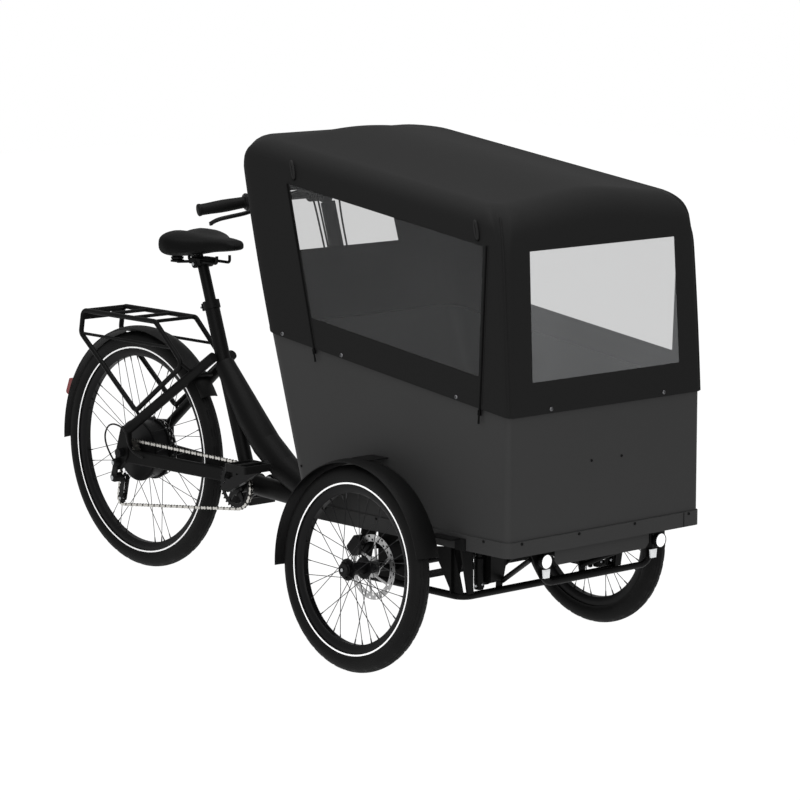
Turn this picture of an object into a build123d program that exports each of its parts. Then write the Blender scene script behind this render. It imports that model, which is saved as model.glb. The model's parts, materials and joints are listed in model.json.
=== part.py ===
"""Front-loading three-wheeled electric cargo bike with a rain canopy, in millimetres.

The bike has two halves. The rear half is an ordinary bicycle frame with a long low beam that
reaches under the box. The front half is a box on two wheels with the handlebar on its back wall,
and it turns as one piece on an upright pivot at the end of the beam.
x points forward, y to the rider's left and z up from the floor.
"""

import math
import os

from build123d import *

# Wheels
WHEELBASE = 1345.0
FRONT_TRACK = 810.0
FRONT_CAMBER = 3.5
FRONT_BEAD_RADIUS = 203.0
REAR_BEAD_RADIUS = 279.5
TYRE_SECTION = 50.0
RIM_WIDTH = 28.0
RIM_INNER_WIDTH = 16.0
RIM_DEPTH = 18.0
SPOKE_COUNT = 32
SPOKE_THICKNESS = 2.0
SPOKE_SEAT_GAP = 0.3
SPOKE_HEAD_GAP = 1.1
SPOKE_STAGGER = 2.0
FRONT_HUB_RADIUS = 15.0
FRONT_FLANGE_RADIUS = 27.0
FRONT_FLANGE_OFFSET = 26.0
FRONT_HUB_OUTER = 38.0
FRONT_HUB_INNER = 62.0
FLANGE_THICKNESS = 3.0
DISC_RADIUS = 80.0
DISC_TRACK = 16.0
DISC_THICKNESS = 2.0
FRONT_DISC_OFFSET = 56.0
STUB_AXLE_RADIUS = 8.0
STUB_AXLE_ENGAGEMENT = 40.0
SHAFT_CLEARANCE = 0.4
CALIPER_LENGTH = 46.0
CALIPER_HEIGHT = 34.0
CALIPER_HALF_WIDTH = 17.0
REAR_DISC_OFFSET = 49.0
REAR_CALIPER_ANGLE = 130.0

# Box
BOX_HALF_WIDTH = 325.0
BOX_FRONT = 450.0
BOX_BASE = 333.0
BOX_WALL = 12.0
BOX_FLOOR_RISE = 14.0
BOX_REAR_AT_BASE = 298.0
REAR_WALL_LEAN = 0.30
REAR_CORNER_RADIUS = 45.0
FRONT_CORNER_RADIUS = 16.0
TRIM_HEIGHT = 37.0
TRIM_THICKNESS = 4.0
HEM_FRONT_HEIGHT = 666.0
HEM_SLOPE = 0.1357
BOX_RISE_UNDER_HEM = 10.0

# Canopy
SKIRT_GAP = 0.9
CANOPY_WALL = 3.2
CANOPY_FRONT_LEAN = 0.0547
ROOF_EDGE_RISE = 480.0
ROOF_EDGE_AT = 397.0
ROOF_SLOPE = 0.124
ROOF_CROWN = 40.0
SHOULDER_RADIUS = 60.0
ROOF_FRONT_RADIUS = 95.0
ROOF_REAR_RADIUS = 130.0
ROOF_SEAM_DROP = 62.0
WINDOW_THICKNESS = 1.0
WINDOW_GAP = 0.3
WINDOW_CORNER = 12.0

# Pivot and beam
PIVOT_AHEAD_OF_AXLE = 17.0
PIVOT_PIN_RADIUS = 10.0
HEAD_TUBE_RADIUS = 24.0
HEAD_TUBE_BOTTOM = 226.0
HEAD_TUBE_TOP = 322.0
BEAM_HEIGHT = 285.0
BEAM_DIAMETER = 62.0

# Rear frame
BRACKET_BEHIND_AXLE = 886.0
BRACKET_HEIGHT = 295.0
BRACKET_SHELL_RADIUS = 22.0
BRACKET_SHELL_WIDTH = 76.0
SEAT_TUBE_LEAN = 0.343
SEAT_TUBE_DIAMETER = 40.0
SEAT_TUBE_TOP = 752.0
MAIN_TUBE_DROP = 144.0
MAIN_TUBE_FALL = 1.2
MAIN_TUBE_BEND_SHARE = 1.63
MAIN_TUBE_TOP_DIAMETER = 54.0
MAIN_TUBE_MIDDLE_DIAMETER = 78.0
LOWER_TUBE_DIAMETER = 54.0
SEAT_STAY_DROP = 124.0
SEAT_STAY_DIAMETER = 28.0
SEAT_STAY_TOP_OFFSET = 32.0
SEAT_STAY_LOW_AHEAD = 10.0
SEAT_STAY_LOW_RISE = 60.0
CHAIN_STAY_FRONT_RISE = 18.0
CHAIN_STAY_REAR_DROP = 9.0
CHAIN_STAY_DEPTH = 38.0
CHAIN_STAY_THICKNESS = 14.0
CHAIN_STAY_FRONT_OFFSET = 31.0
DROPOUT_OFFSET = 74.0
DROPOUT_THICKNESS = 8.0
DROPOUT_RADIUS = 26.0
REAR_AXLE_RADIUS = 6.0

# Seat
SEAT_POST_DIAMETER = 30.0
SEAT_POST_RISE = 116.0
SADDLE_RISE = 32.0
SADDLE_THICKNESS = 58.0
SADDLE_NOSE = 927.0
SADDLE_NOSE_RADIUS = 24.0
SADDLE_LOBE_RADIUS = 62.0
SADDLE_HALF_WIDTH = 104.0
SADDLE_TAIL = 1190.0
RAIL_DIAMETER = 8.0
RAIL_OFFSET = 22.0

# Rear mudguard, rack and light
GUARD_TYRE_GAP = 14.0
GUARD_THICKNESS = 2.0
REAR_GUARD_WIDTH = 56.0
REAR_GUARD_START = 32.0
REAR_GUARD_END = 181.0
FRONT_GUARD_WIDTH = 72.0
FRONT_GUARD_START = 14.0
FRONT_GUARD_END = 186.0
GUARD_CROWN = 7.0
RACK_TUBE = 14.0
RACK_OFFSET = 70.0
RACK_TOP = 707.0
RACK_PLATE_HOLE_SPACING = 50.0
RACK_PLATE_HOLE_RADIUS = 2.75

# Drive
CHAIN_LINE = 52.0
CHAIN_WIDTH = 8.0
CHAIN_HALF_HEIGHT = 4.5
CHAIN_TOOTH_GAP = 1.0
CHAINRING_RADIUS = 64.0
SPROCKET_RADIUS = 33.0
PULLEY_RADIUS = 18.0
CRANK_LENGTH = 170.0
CRANK_ANGLE = 27.6
CRANK_OFFSET = 68.0
CRANK_THICKNESS = 13.0
PEDAL_WIDTH = 92.0
MOTOR_RADIUS = 86.0
MOTOR_HALF_WIDTH = 28.0

# Handlebar
BAR_DIAMETER = 22.0
BAR_HEIGHT = 1095.0
BAR_STRAIGHT_HALF = 140.0
GRIP_END_BACK = 78.0
GRIP_END_OUT = 330.0
GRIP_END_DROP = 27.0
GRIP_LENGTH = 130.0
GRIP_DIAMETER = 32.0
COLUMN_DIAMETER = 38.0
COLUMN_BOTTOM = 570.0
COLUMN_BELOW_BAR = 19.0
STEM_REACH = 46.0
COLUMN_WALL_GAP = 26.0

# Places that follow from the sizes above
front_ring_radius = FRONT_BEAD_RADIUS + TYRE_SECTION / 2
front_tyre_radius = FRONT_BEAD_RADIUS + TYRE_SECTION
rear_tyre_radius = REAR_BEAD_RADIUS + TYRE_SECTION
camber = math.radians(FRONT_CAMBER)
front_axle_height = front_ring_radius * math.cos(camber) + TYRE_SECTION / 2
rear_guard_inner = rear_tyre_radius + GUARD_TYRE_GAP
rear_guard_outer = rear_guard_inner + GUARD_THICKNESS
trim_front = BOX_FRONT + TRIM_THICKNESS
front_axle_x = (WHEELBASE + rear_guard_outer - trim_front) / 2
rear_axle_x = front_axle_x - WHEELBASE
rear_axle_height = rear_tyre_radius
bracket_x = front_axle_x - BRACKET_BEHIND_AXLE
pivot_x = front_axle_x + PIVOT_AHEAD_OF_AXLE
canopy_half_width = BOX_HALF_WIDTH + SKIRT_GAP + CANOPY_WALL
roof_edge_height = HEM_FRONT_HEIGHT + ROOF_EDGE_RISE
main_tube_join = SEAT_TUBE_TOP - MAIN_TUBE_DROP
seat_stay_top = SEAT_TUBE_TOP - SEAT_STAY_DROP
seat_post_top = SEAT_TUBE_TOP + SEAT_POST_RISE
saddle_base = seat_post_top + SADDLE_RISE
column_top = BAR_HEIGHT - COLUMN_BELOW_BAR


def bent_tube(points, diameter, bend, closed=False):
    """Round tube or wire along straight runs joined by bends of one radius."""
    with BuildPart() as tube:
        with BuildLine() as path:
            FilletPolyline(*points, radius=bend, close=closed)
        with BuildSketch(Plane(origin=path.line @ 0, z_dir=path.line % 0)):
            Circle(diameter / 2)
        sweep(path=path.line)
    return tube.part


def straight_rod(start, end, diameter):
    """Round bar between two points."""
    run = Vector(*end) - Vector(*start)
    with BuildPart(Plane(origin=start, z_dir=run)) as rod:
        Cylinder(diameter / 2, run.length, align=(Align.CENTER, Align.CENTER, Align.MIN))
    return rod.part


def joined(pieces):
    """Several bodies as one piece, welded where they meet."""
    with BuildPart() as group:
        for piece in pieces:
            add(piece)
    return group.part


def save(piece, name):
    piece.label = name
    export_step(piece, f"parts/{name}.step")


def rear_face_x(height):
    """Outer face of the box's leaning back wall at a height."""
    return front_axle_x - BOX_REAR_AT_BASE - REAR_WALL_LEAN * (height - BOX_BASE)


def seat_axis_x(height):
    """Centre line of the seat tube at a height."""
    return bracket_x - SEAT_TUBE_LEAN * (height - BRACKET_HEIGHT)


def slope_plane(x, height, slope):
    """Plane across the bike that drops forward by a slope, its normal pointing up."""
    return Plane(origin=(x, 0, height), z_dir=(slope, 0, 1))


def lean_plane(x, height, lean):
    """Upright plane across the bike that leans back with height, its normal pointing forward."""
    return Plane(origin=(x, 0, height), z_dir=(1, 0, lean))


os.makedirs("parts", exist_ok=True)

# Front and rear wheels, made lying flat about z with the outer side up, then set on their axles
# Columns: bead radius, hub flange radius, flange offset, how far a spoke leads at the rim in degrees
FRONT_LACING = (FRONT_BEAD_RADIUS, FRONT_FLANGE_RADIUS, FRONT_FLANGE_OFFSET, 42.0)
REAR_LACING = (REAR_BEAD_RADIUS, MOTOR_RADIUS, MOTOR_HALF_WIDTH - FLANGE_THICKNESS, 14.0)


def make_tyre(bead_radius):
    with BuildPart() as tyre:
        with BuildSketch(Plane.XZ):
            with Locations((bead_radius + TYRE_SECTION / 2, 0)):
                Circle(TYRE_SECTION / 2)
            with Locations((bead_radius, 0)):
                Rectangle(TYRE_SECTION, TYRE_SECTION, align=(Align.MAX, Align.CENTER), mode=Mode.SUBTRACT)
            with Locations((bead_radius, 0)):
                Rectangle(TYRE_SECTION / 4, RIM_WIDTH - 4, align=(Align.MIN, Align.CENTER))
        revolve(axis=Axis.Z)
    return tyre.part


def make_rim(bead_radius, flange_radius, flange_offset, lead):
    """Rim with its laced spokes, which end just short of rim and flange."""
    rim_inner = bead_radius - RIM_DEPTH
    spoke_places = []
    for index in range(SPOKE_COUNT):
        side = 1 if index % 2 else -1
        turn = 1 if index % 4 < 2 else -1
        hub_angle = math.radians(360 / SPOKE_COUNT * index - turn * lead / 2)
        rim_angle = math.radians(360 / SPOKE_COUNT * index + turn * lead / 2)
        hub_end = Vector(
            (flange_radius + SPOKE_HEAD_GAP) * math.cos(hub_angle),
            (flange_radius + SPOKE_HEAD_GAP) * math.sin(hub_angle),
            side * flange_offset + turn * SPOKE_STAGGER,
        )
        rim_end = Vector(
            (rim_inner - SPOKE_SEAT_GAP) * math.cos(rim_angle),
            (rim_inner - SPOKE_SEAT_GAP) * math.sin(rim_angle),
            side * RIM_INNER_WIDTH / 5,
        )
        spoke_places.append(Plane(origin=hub_end, z_dir=rim_end - hub_end))
        spoke_length = (rim_end - hub_end).length
    with BuildPart() as rim:
        with BuildSketch(Plane.XZ):
            with BuildLine():
                Polyline(
                    (bead_radius, -RIM_WIDTH / 2),
                    (bead_radius, RIM_WIDTH / 2),
                    (bead_radius - RIM_DEPTH / 2, RIM_WIDTH / 2 - 1),
                    (rim_inner, RIM_INNER_WIDTH / 2),
                    (rim_inner, -RIM_INNER_WIDTH / 2),
                    (bead_radius - RIM_DEPTH / 2, 1 - RIM_WIDTH / 2),
                    close=True,
                )
            make_face()
        revolve(axis=Axis.Z)
        with Locations(*spoke_places):
            Box(
                SPOKE_THICKNESS,
                SPOKE_THICKNESS,
                spoke_length,
                align=(Align.CENTER, Align.CENTER, Align.MIN),
            )
    return rim.part


def make_disc(offset, bore):
    """Brake disc with a carrier of arms, at an offset along the axle."""
    with BuildPart() as disc:
        with BuildSketch(Plane.XY.offset(offset)):
            Circle(DISC_RADIUS)
            Circle(DISC_RADIUS - DISC_TRACK, mode=Mode.SUBTRACT)
            Circle(bore + 8)
            with PolarLocations(DISC_RADIUS / 2, 6):
                Rectangle(DISC_RADIUS - DISC_TRACK / 2, 8)
            Circle(bore, mode=Mode.SUBTRACT)
            with PolarLocations(DISC_RADIUS - DISC_TRACK / 2, 18):
                Circle(3, mode=Mode.SUBTRACT)
        extrude(amount=DISC_THICKNESS / 2, both=True)
    return disc.part


front_tyre = make_tyre(FRONT_BEAD_RADIUS)
front_rim = make_rim(*FRONT_LACING)
front_disc = make_disc(-FRONT_DISC_OFFSET, FRONT_HUB_RADIUS + SPOKE_SEAT_GAP)
with BuildPart() as front_hub:
    with BuildSketch(Plane.XZ):
        with BuildLine():
            Polyline(
                (0, FRONT_HUB_OUTER),
                (FRONT_HUB_RADIUS - 4, FRONT_HUB_OUTER),
                (FRONT_HUB_RADIUS, FRONT_HUB_OUTER - 6),
                (FRONT_HUB_RADIUS, -FRONT_HUB_INNER),
                (0, -FRONT_HUB_INNER),
                close=True,
            )
        make_face()
        with Locations((0, FRONT_FLANGE_OFFSET), (0, -FRONT_FLANGE_OFFSET)):
            Rectangle(FRONT_FLANGE_RADIUS, FLANGE_THICKNESS, align=(Align.MIN, Align.CENTER))
        with Locations((0, -FRONT_HUB_INNER)):
            Rectangle(
                STUB_AXLE_RADIUS + SHAFT_CLEARANCE,
                STUB_AXLE_ENGAGEMENT + SHAFT_CLEARANCE,
                align=(Align.MIN, Align.MIN),
                mode=Mode.SUBTRACT,
            )
    revolve(axis=Axis.Z)

# Columns: side name, sign of y
SIDES = (("right", -1), ("left", 1))


def front_wheel_place(sign):
    """Plane of a front wheel, its z along the axle to the outside and its top leaning in."""
    return Plane(
        origin=(front_axle_x, sign * FRONT_TRACK / 2, front_axle_height),
        x_dir=(1, 0, 0),
        z_dir=(0, sign * math.cos(camber), math.sin(camber)),
    )


for side, sign in SIDES:
    place = front_wheel_place(sign).location
    save(front_tyre.moved(place), f"front_tyre_{side}")
    save(front_rim.moved(place), f"front_rim_{side}")
    save(front_hub.part.moved(place), f"front_hub_{side}")
    save(front_disc.moved(place), f"front_disc_{side}")

rear_place = Plane(
    origin=(rear_axle_x, 0, rear_axle_height), x_dir=(1, 0, 0), z_dir=(0, -1, 0)
).location
SPROCKET_COUNT = 6
SPROCKET_PITCH = 5.0
SPROCKET_THICKNESS = 2.0
SPROCKET_STEP = 4.0
SPROCKET_CORE = 20.0
AXLE_BORE = REAR_AXLE_RADIUS + SHAFT_CLEARANCE
with BuildPart() as rear_hub:
    with BuildSketch(Plane.XZ):
        Rectangle(MOTOR_RADIUS - 6, 2 * MOTOR_HALF_WIDTH, align=(Align.MIN, Align.CENTER))
        with Locations((0, MOTOR_HALF_WIDTH - FLANGE_THICKNESS), (0, FLANGE_THICKNESS - MOTOR_HALF_WIDTH)):
            Rectangle(MOTOR_RADIUS, FLANGE_THICKNESS, align=(Align.MIN, Align.CENTER))
        Rectangle(SPROCKET_CORE, 2 * (DROPOUT_OFFSET - DROPOUT_THICKNESS), align=(Align.MIN, Align.CENTER))
        Rectangle(AXLE_BORE, 4 * DROPOUT_OFFSET, align=(Align.MIN, Align.CENTER), mode=Mode.SUBTRACT)
    revolve(axis=Axis.Z)
with BuildPart() as sprockets:
    for index in range(SPROCKET_COUNT):
        step = index - SPROCKET_COUNT // 2
        with BuildSketch(Plane.XY.offset(CHAIN_LINE + step * SPROCKET_PITCH)):
            Circle(SPROCKET_RADIUS - CHAIN_HALF_HEIGHT - CHAIN_TOOTH_GAP - max(step, 0) * SPROCKET_STEP / 4)
            Circle(SPROCKET_CORE + SHAFT_CLEARANCE, mode=Mode.SUBTRACT)
        extrude(amount=SPROCKET_THICKNESS / 2, both=True)
save(make_tyre(REAR_BEAD_RADIUS).moved(rear_place), "rear_tyre")
save(make_rim(*REAR_LACING).moved(rear_place), "rear_rim")
save(rear_hub.part.moved(rear_place), "rear_hub_motor")
save(sprockets.part.moved(rear_place), "rear_sprockets")
save(make_disc(-REAR_DISC_OFFSET, SPROCKET_CORE + SHAFT_CLEARANCE).moved(rear_place), "rear_disc")

# Bent main tube that swells at its bend and runs on as the beam under the box
main_tube_top = (seat_axis_x(main_tube_join), 0, main_tube_join)
beam_corner_x = main_tube_top[0] + (main_tube_join - BEAM_HEIGHT) / MAIN_TUBE_FALL
main_tube_turn = math.atan(MAIN_TUBE_FALL)
main_tube_bend = MAIN_TUBE_BEND_SHARE * (main_tube_join - BEAM_HEIGHT)
bend_centre_x = beam_corner_x + main_tube_bend * math.tan(main_tube_turn / 2)
bend_centre_z = BEAM_HEIGHT + main_tube_bend


def bend_plane(share):
    """Plane across the main tube at a share of its bend, counted from the upper end."""
    turn = main_tube_turn * (1 - share)
    across = Vector(math.sin(turn), 0, math.cos(turn))
    origin = Vector(bend_centre_x, 0, bend_centre_z) - across * main_tube_bend
    return Plane(origin=origin, x_dir=(0, 1, 0), z_dir=(math.cos(turn), 0, -math.sin(turn)))


# Columns: share of the bend, tube diameter
MAIN_TUBE_SWELL = (
    (0.0, MAIN_TUBE_MIDDLE_DIAMETER),
    (0.2, MAIN_TUBE_MIDDLE_DIAMETER + 2),
    (0.4, MAIN_TUBE_MIDDLE_DIAMETER),
    (0.6, 0.6 * MAIN_TUBE_MIDDLE_DIAMETER + 0.4 * BEAM_DIAMETER),
    (0.8, 0.3 * MAIN_TUBE_MIDDLE_DIAMETER + 0.7 * BEAM_DIAMETER),
    (1.0, BEAM_DIAMETER),
)
with BuildPart() as main_tube:
    with BuildSketch(Plane(origin=main_tube_top, x_dir=(0, 1, 0), z_dir=bend_plane(0).z_dir)):
        Circle(MAIN_TUBE_TOP_DIAMETER / 2)
    with BuildSketch(bend_plane(0)):
        Circle(MAIN_TUBE_MIDDLE_DIAMETER / 2)
    loft(ruled=True)
    for start, end in zip(MAIN_TUBE_SWELL, MAIN_TUBE_SWELL[1:]):
        with BuildSketch(bend_plane(start[0])):
            Circle(start[1] / 2)
        with BuildSketch(bend_plane(end[0])):
            Circle(end[1] / 2)
        loft(ruled=True)
    add(straight_rod((bend_centre_x, 0, BEAM_HEIGHT), (pivot_x, 0, BEAM_HEIGHT), BEAM_DIAMETER))

# Seat tube, lower tube, bracket shell, stays and dropout plates, welded to the main tube
seat_tube = straight_rod(
    (bracket_x, 0, BRACKET_HEIGHT), (seat_axis_x(SEAT_TUBE_TOP), 0, SEAT_TUBE_TOP), SEAT_TUBE_DIAMETER
)
lower_tube = straight_rod(
    (bracket_x, 0, BRACKET_HEIGHT), (beam_corner_x + BEAM_DIAMETER, 0, BEAM_HEIGHT), LOWER_TUBE_DIAMETER
)
stay_low_x = rear_axle_x + SEAT_STAY_LOW_AHEAD
stay_low_z = rear_axle_height + SEAT_STAY_LOW_RISE
stay_top_x = seat_axis_x(seat_stay_top)
chain_stay_front = bracket_x - BRACKET_SHELL_RADIUS / 2


def seat_stay_ends(sign):
    """Lower and upper end of a seat stay's centre line."""
    low = Vector(stay_low_x, sign * DROPOUT_OFFSET, stay_low_z)
    return low, Vector(stay_top_x, sign * SEAT_STAY_TOP_OFFSET, seat_stay_top)


stays = []
for side, sign in SIDES:
    low_end, high_end = seat_stay_ends(sign)
    stays.append(straight_rod(tuple(low_end), tuple(high_end), SEAT_STAY_DIAMETER))
    front_end = Vector(
        chain_stay_front, sign * CHAIN_STAY_FRONT_OFFSET, BRACKET_HEIGHT + CHAIN_STAY_FRONT_RISE
    )
    rear_end = Vector(rear_axle_x, sign * DROPOUT_OFFSET, rear_axle_height - CHAIN_STAY_REAR_DROP)
    with BuildPart(Plane(origin=front_end, x_dir=(0, 0, 1), z_dir=rear_end - front_end)) as chain_stay:
        Box(
            CHAIN_STAY_DEPTH,
            CHAIN_STAY_THICKNESS,
            (rear_end - front_end).length,
            align=(Align.CENTER, Align.CENTER, Align.MIN),
        )
        fillet(chain_stay.edges().filter_by(Axis.Z, 20), CHAIN_STAY_THICKNESS / 3)
    stays.append(chain_stay.part)

# A bridge joins the seat stays just outside the mudguard, which hangs from it
GUARD_BRIDGE = 14.0
GUARD_SEAT_GAP = 0.4
bridge_reach = rear_guard_outer + GUARD_SEAT_GAP + GUARD_BRIDGE / 2
stay_rise = (seat_stay_top - stay_low_z) / (stay_top_x - stay_low_x)
stay_lift = SEAT_STAY_LOW_RISE - stay_rise * SEAT_STAY_LOW_AHEAD
spread = 1 + stay_rise**2
bridge_ahead = math.sqrt(spread * bridge_reach**2 - stay_lift**2) / spread - stay_rise * stay_lift / spread
bridge_x = rear_axle_x + bridge_ahead
bridge_z = rear_axle_height + stay_lift + stay_rise * bridge_ahead
guard_bridge = straight_rod(
    (bridge_x, -SEAT_STAY_TOP_OFFSET - SEAT_STAY_DIAMETER / 2, bridge_z),
    (bridge_x, SEAT_STAY_TOP_OFFSET + SEAT_STAY_DIAMETER / 2, bridge_z),
    GUARD_BRIDGE,
)

# Each dropout plate ties axle and stays, and the left one also carries the brake caliper
DROPOUT_TOP_RADIUS = 16.0
HANGER_RADIUS = 12.0
HANGER_BACK = 22.0
HANGER_DROP = 40.0
caliper_turn = math.radians(REAR_CALIPER_ANGLE)
caliper_reach = DISC_RADIUS - DISC_TRACK / 2
hanger_x = rear_axle_x - HANGER_BACK
hanger_z = rear_axle_height - HANGER_DROP
caliper_x = rear_axle_x + caliper_reach * math.cos(caliper_turn)
caliper_z = rear_axle_height + caliper_reach * math.sin(caliper_turn)
# Columns: sign of y, x, z and radius of the plate's third corner
DROPOUTS = ((-1, hanger_x, hanger_z, HANGER_RADIUS), (1, caliper_x, caliper_z, DROPOUT_TOP_RADIUS))
dropout_inner = DROPOUT_OFFSET - DROPOUT_THICKNESS + SHAFT_CLEARANCE
dropout_outer = DROPOUT_OFFSET + DROPOUT_THICKNESS
dropouts = []
for sign, corner_x, corner_z, corner_radius in DROPOUTS:
    with BuildPart() as dropout:
        with BuildSketch(Plane.XZ.offset(-sign * dropout_inner)):
            with Locations((rear_axle_x, rear_axle_height)):
                Circle(DROPOUT_RADIUS)
            with Locations((stay_low_x, stay_low_z)):
                Circle(DROPOUT_TOP_RADIUS)
            with Locations((corner_x, corner_z)):
                Circle(corner_radius)
            make_hull()
        extrude(amount=-sign * (dropout_outer - dropout_inner))
    dropouts.append(dropout.part)

with BuildPart() as frame:
    add(main_tube.part)
    add(seat_tube)
    add(lower_tube)
    for stay in stays:
        add(stay)
    add(guard_bridge)
    with Locations(Location((bracket_x, 0, BRACKET_HEIGHT), (90, 0, 0))):
        Cylinder(BRACKET_SHELL_RADIUS, BRACKET_SHELL_WIDTH)
    with Locations((pivot_x, 0, (HEAD_TUBE_TOP + HEAD_TUBE_BOTTOM) / 2)):
        Cylinder(HEAD_TUBE_RADIUS, HEAD_TUBE_TOP - HEAD_TUBE_BOTTOM)
        Cylinder(
            PIVOT_PIN_RADIUS + SHAFT_CLEARANCE, 2 * (HEAD_TUBE_TOP - HEAD_TUBE_BOTTOM), mode=Mode.SUBTRACT
        )
    with Locations(Location((bracket_x, 0, BRACKET_HEIGHT), (90, 0, 0))):
        Cylinder(PIVOT_PIN_RADIUS + SHAFT_CLEARANCE, 2 * BRACKET_SHELL_WIDTH, mode=Mode.SUBTRACT)
    with Locations((rear_axle_x, 0, rear_axle_height)):
        Box(3 * DROPOUT_RADIUS, 2 * dropout_inner, 3 * DROPOUT_RADIUS, mode=Mode.SUBTRACT)
        for sign in (-1, 1):
            with Locations((0, sign * (dropout_outer + 2 * DROPOUT_THICKNESS), 0)):
                Box(3 * DROPOUT_RADIUS, 4 * DROPOUT_THICKNESS, 3 * DROPOUT_RADIUS, mode=Mode.SUBTRACT)
    for dropout in dropouts:
        add(dropout)
    with Locations(Location((rear_axle_x, 0, rear_axle_height), (90, 0, 0))):
        Cylinder(REAR_AXLE_RADIUS, 4 * DROPOUT_OFFSET, mode=Mode.SUBTRACT)
save(frame.part, "frame")

with BuildPart() as rear_axle:
    with Locations(Location((rear_axle_x, 0, rear_axle_height), (90, 0, 0))):
        Cylinder(REAR_AXLE_RADIUS, 2 * (DROPOUT_OFFSET + 3 * DROPOUT_THICKNESS))
    for sign in (-1, 1):
        nut_y = sign * (DROPOUT_OFFSET + 2 * DROPOUT_THICKNESS)
        with Locations(Location((rear_axle_x, nut_y, rear_axle_height), (90, 0, 0))):
            Cylinder(2 * REAR_AXLE_RADIUS, 2 * (DROPOUT_THICKNESS - SHAFT_CLEARANCE))
save(rear_axle.part, "rear_axle")

# Seat post, collar, rails and saddle
COLLAR_HEIGHT = 22.0
post_bottom = SEAT_TUBE_TOP
seat_axis = Vector(-SEAT_TUBE_LEAN, 0, 1).normalized()
post_plane = Plane(origin=(seat_axis_x(post_bottom), 0, post_bottom), z_dir=seat_axis)
post_length = (seat_post_top - post_bottom) / seat_axis.Z
with BuildPart(post_plane) as seat_collar:
    with BuildSketch(post_plane):
        Circle(SEAT_TUBE_DIAMETER / 2 + 3)
        Circle(SEAT_POST_DIAMETER / 2 + SHAFT_CLEARANCE, mode=Mode.SUBTRACT)
    extrude(amount=COLLAR_HEIGHT)
save(seat_collar.part, "seat_collar")
with BuildPart(post_plane) as seat_post:
    Cylinder(SEAT_POST_DIAMETER / 2, post_length, align=(Align.CENTER, Align.CENTER, Align.MIN))
save(seat_post.part, "seat_post")

saddle_tail_x = front_axle_x - SADDLE_TAIL + SADDLE_LOBE_RADIUS
saddle_nose_x = front_axle_x - SADDLE_NOSE - SADDLE_NOSE_RADIUS
lobe_offset = SADDLE_HALF_WIDTH - SADDLE_LOBE_RADIUS
with BuildPart() as saddle:
    with BuildSketch(Plane.XY.offset(saddle_base)):
        with Locations((saddle_nose_x, 0)):
            Circle(SADDLE_NOSE_RADIUS)
        with Locations((saddle_tail_x, lobe_offset), (saddle_tail_x, -lobe_offset)):
            Circle(SADDLE_LOBE_RADIUS)
        make_hull()
    extrude(amount=SADDLE_THICKNESS)
    fillet(saddle.faces().sort_by(Axis.Z)[-1].edges(), SADDLE_NOSE_RADIUS * 0.6)
save(saddle.part, "saddle")

rail_seat = saddle_base - 0.3
RAIL_NOSE_SETBACK = 44.0
RAIL_TAIL_SETBACK = 14.0
POST_TOP_CLEARANCE = 4.0
rail_low = seat_post_top + RAIL_DIAMETER + POST_TOP_CLEARANCE
post_top_x = seat_axis_x(seat_post_top)
rails = []
for side, sign in SIDES:
    rails.append(
        bent_tube(
            [
                (saddle_nose_x - RAIL_NOSE_SETBACK, sign * RAIL_OFFSET, rail_seat),
                (saddle_nose_x - RAIL_NOSE_SETBACK, sign * RAIL_OFFSET, rail_low),
                (saddle_tail_x + RAIL_TAIL_SETBACK, sign * RAIL_OFFSET, rail_low),
                (saddle_tail_x + RAIL_TAIL_SETBACK, sign * RAIL_OFFSET, rail_seat),
            ],
            RAIL_DIAMETER,
            RAIL_DIAMETER,
        )
    )
with BuildPart() as saddle_clamp:
    for rail in rails:
        add(rail)
    with Locations((post_top_x, 0, rail_low)):
        Box(46, 2 * RAIL_OFFSET + 14, 2 * RAIL_DIAMETER - 0.4)
save(saddle_clamp.part, "saddle_rails")

# Rear mudguard and tail light


def arched_guard(inner_radius, width, start, end):
    """Mudguard bent round the z axis between two angles from the front, with a crowned section."""
    half = width / 2
    outer = inner_radius + GUARD_THICKNESS
    with BuildPart() as guard:
        with BuildSketch(Plane.XZ):
            with BuildLine():
                ThreePointArc(
                    (inner_radius - GUARD_CROWN, -half), (inner_radius, 0), (inner_radius - GUARD_CROWN, half)
                )
                Line((inner_radius - GUARD_CROWN, half), (outer - GUARD_CROWN, half))
                ThreePointArc((outer - GUARD_CROWN, half), (outer, 0), (outer - GUARD_CROWN, -half))
                Line((outer - GUARD_CROWN, -half), (inner_radius - GUARD_CROWN, -half))
            make_face()
        revolve(axis=Axis.Z, revolution_arc=end - start)
    return guard.part.rotate(Axis.Z, start)


rear_guard = arched_guard(rear_guard_inner, REAR_GUARD_WIDTH, REAR_GUARD_START, REAR_GUARD_END)
save(rear_guard.moved(rear_place), "rear_mudguard")

LIGHT_ANGLE = 157.0
LIGHT_HEIGHT = 46.0
LIGHT_WIDTH = 30.0
LIGHT_DEPTH = 20.0
light_turn = math.radians(LIGHT_ANGLE)
light_seat = Plane(
    origin=(
        rear_axle_x + (rear_guard_outer + 0.3) * math.cos(light_turn),
        0,
        rear_axle_height + (rear_guard_outer + 0.3) * math.sin(light_turn),
    ),
    x_dir=(0, 1, 0),
    z_dir=(math.cos(light_turn), 0, math.sin(light_turn)),
)
with BuildPart(light_seat) as tail_light:
    Box(LIGHT_WIDTH, LIGHT_HEIGHT, LIGHT_DEPTH, align=(Align.CENTER, Align.CENTER, Align.MIN))
    fillet(tail_light.edges().filter_by(GeomType.LINE).group_by(Axis.X)[0], 6.0)
save(tail_light.part, "tail_light")

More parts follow.
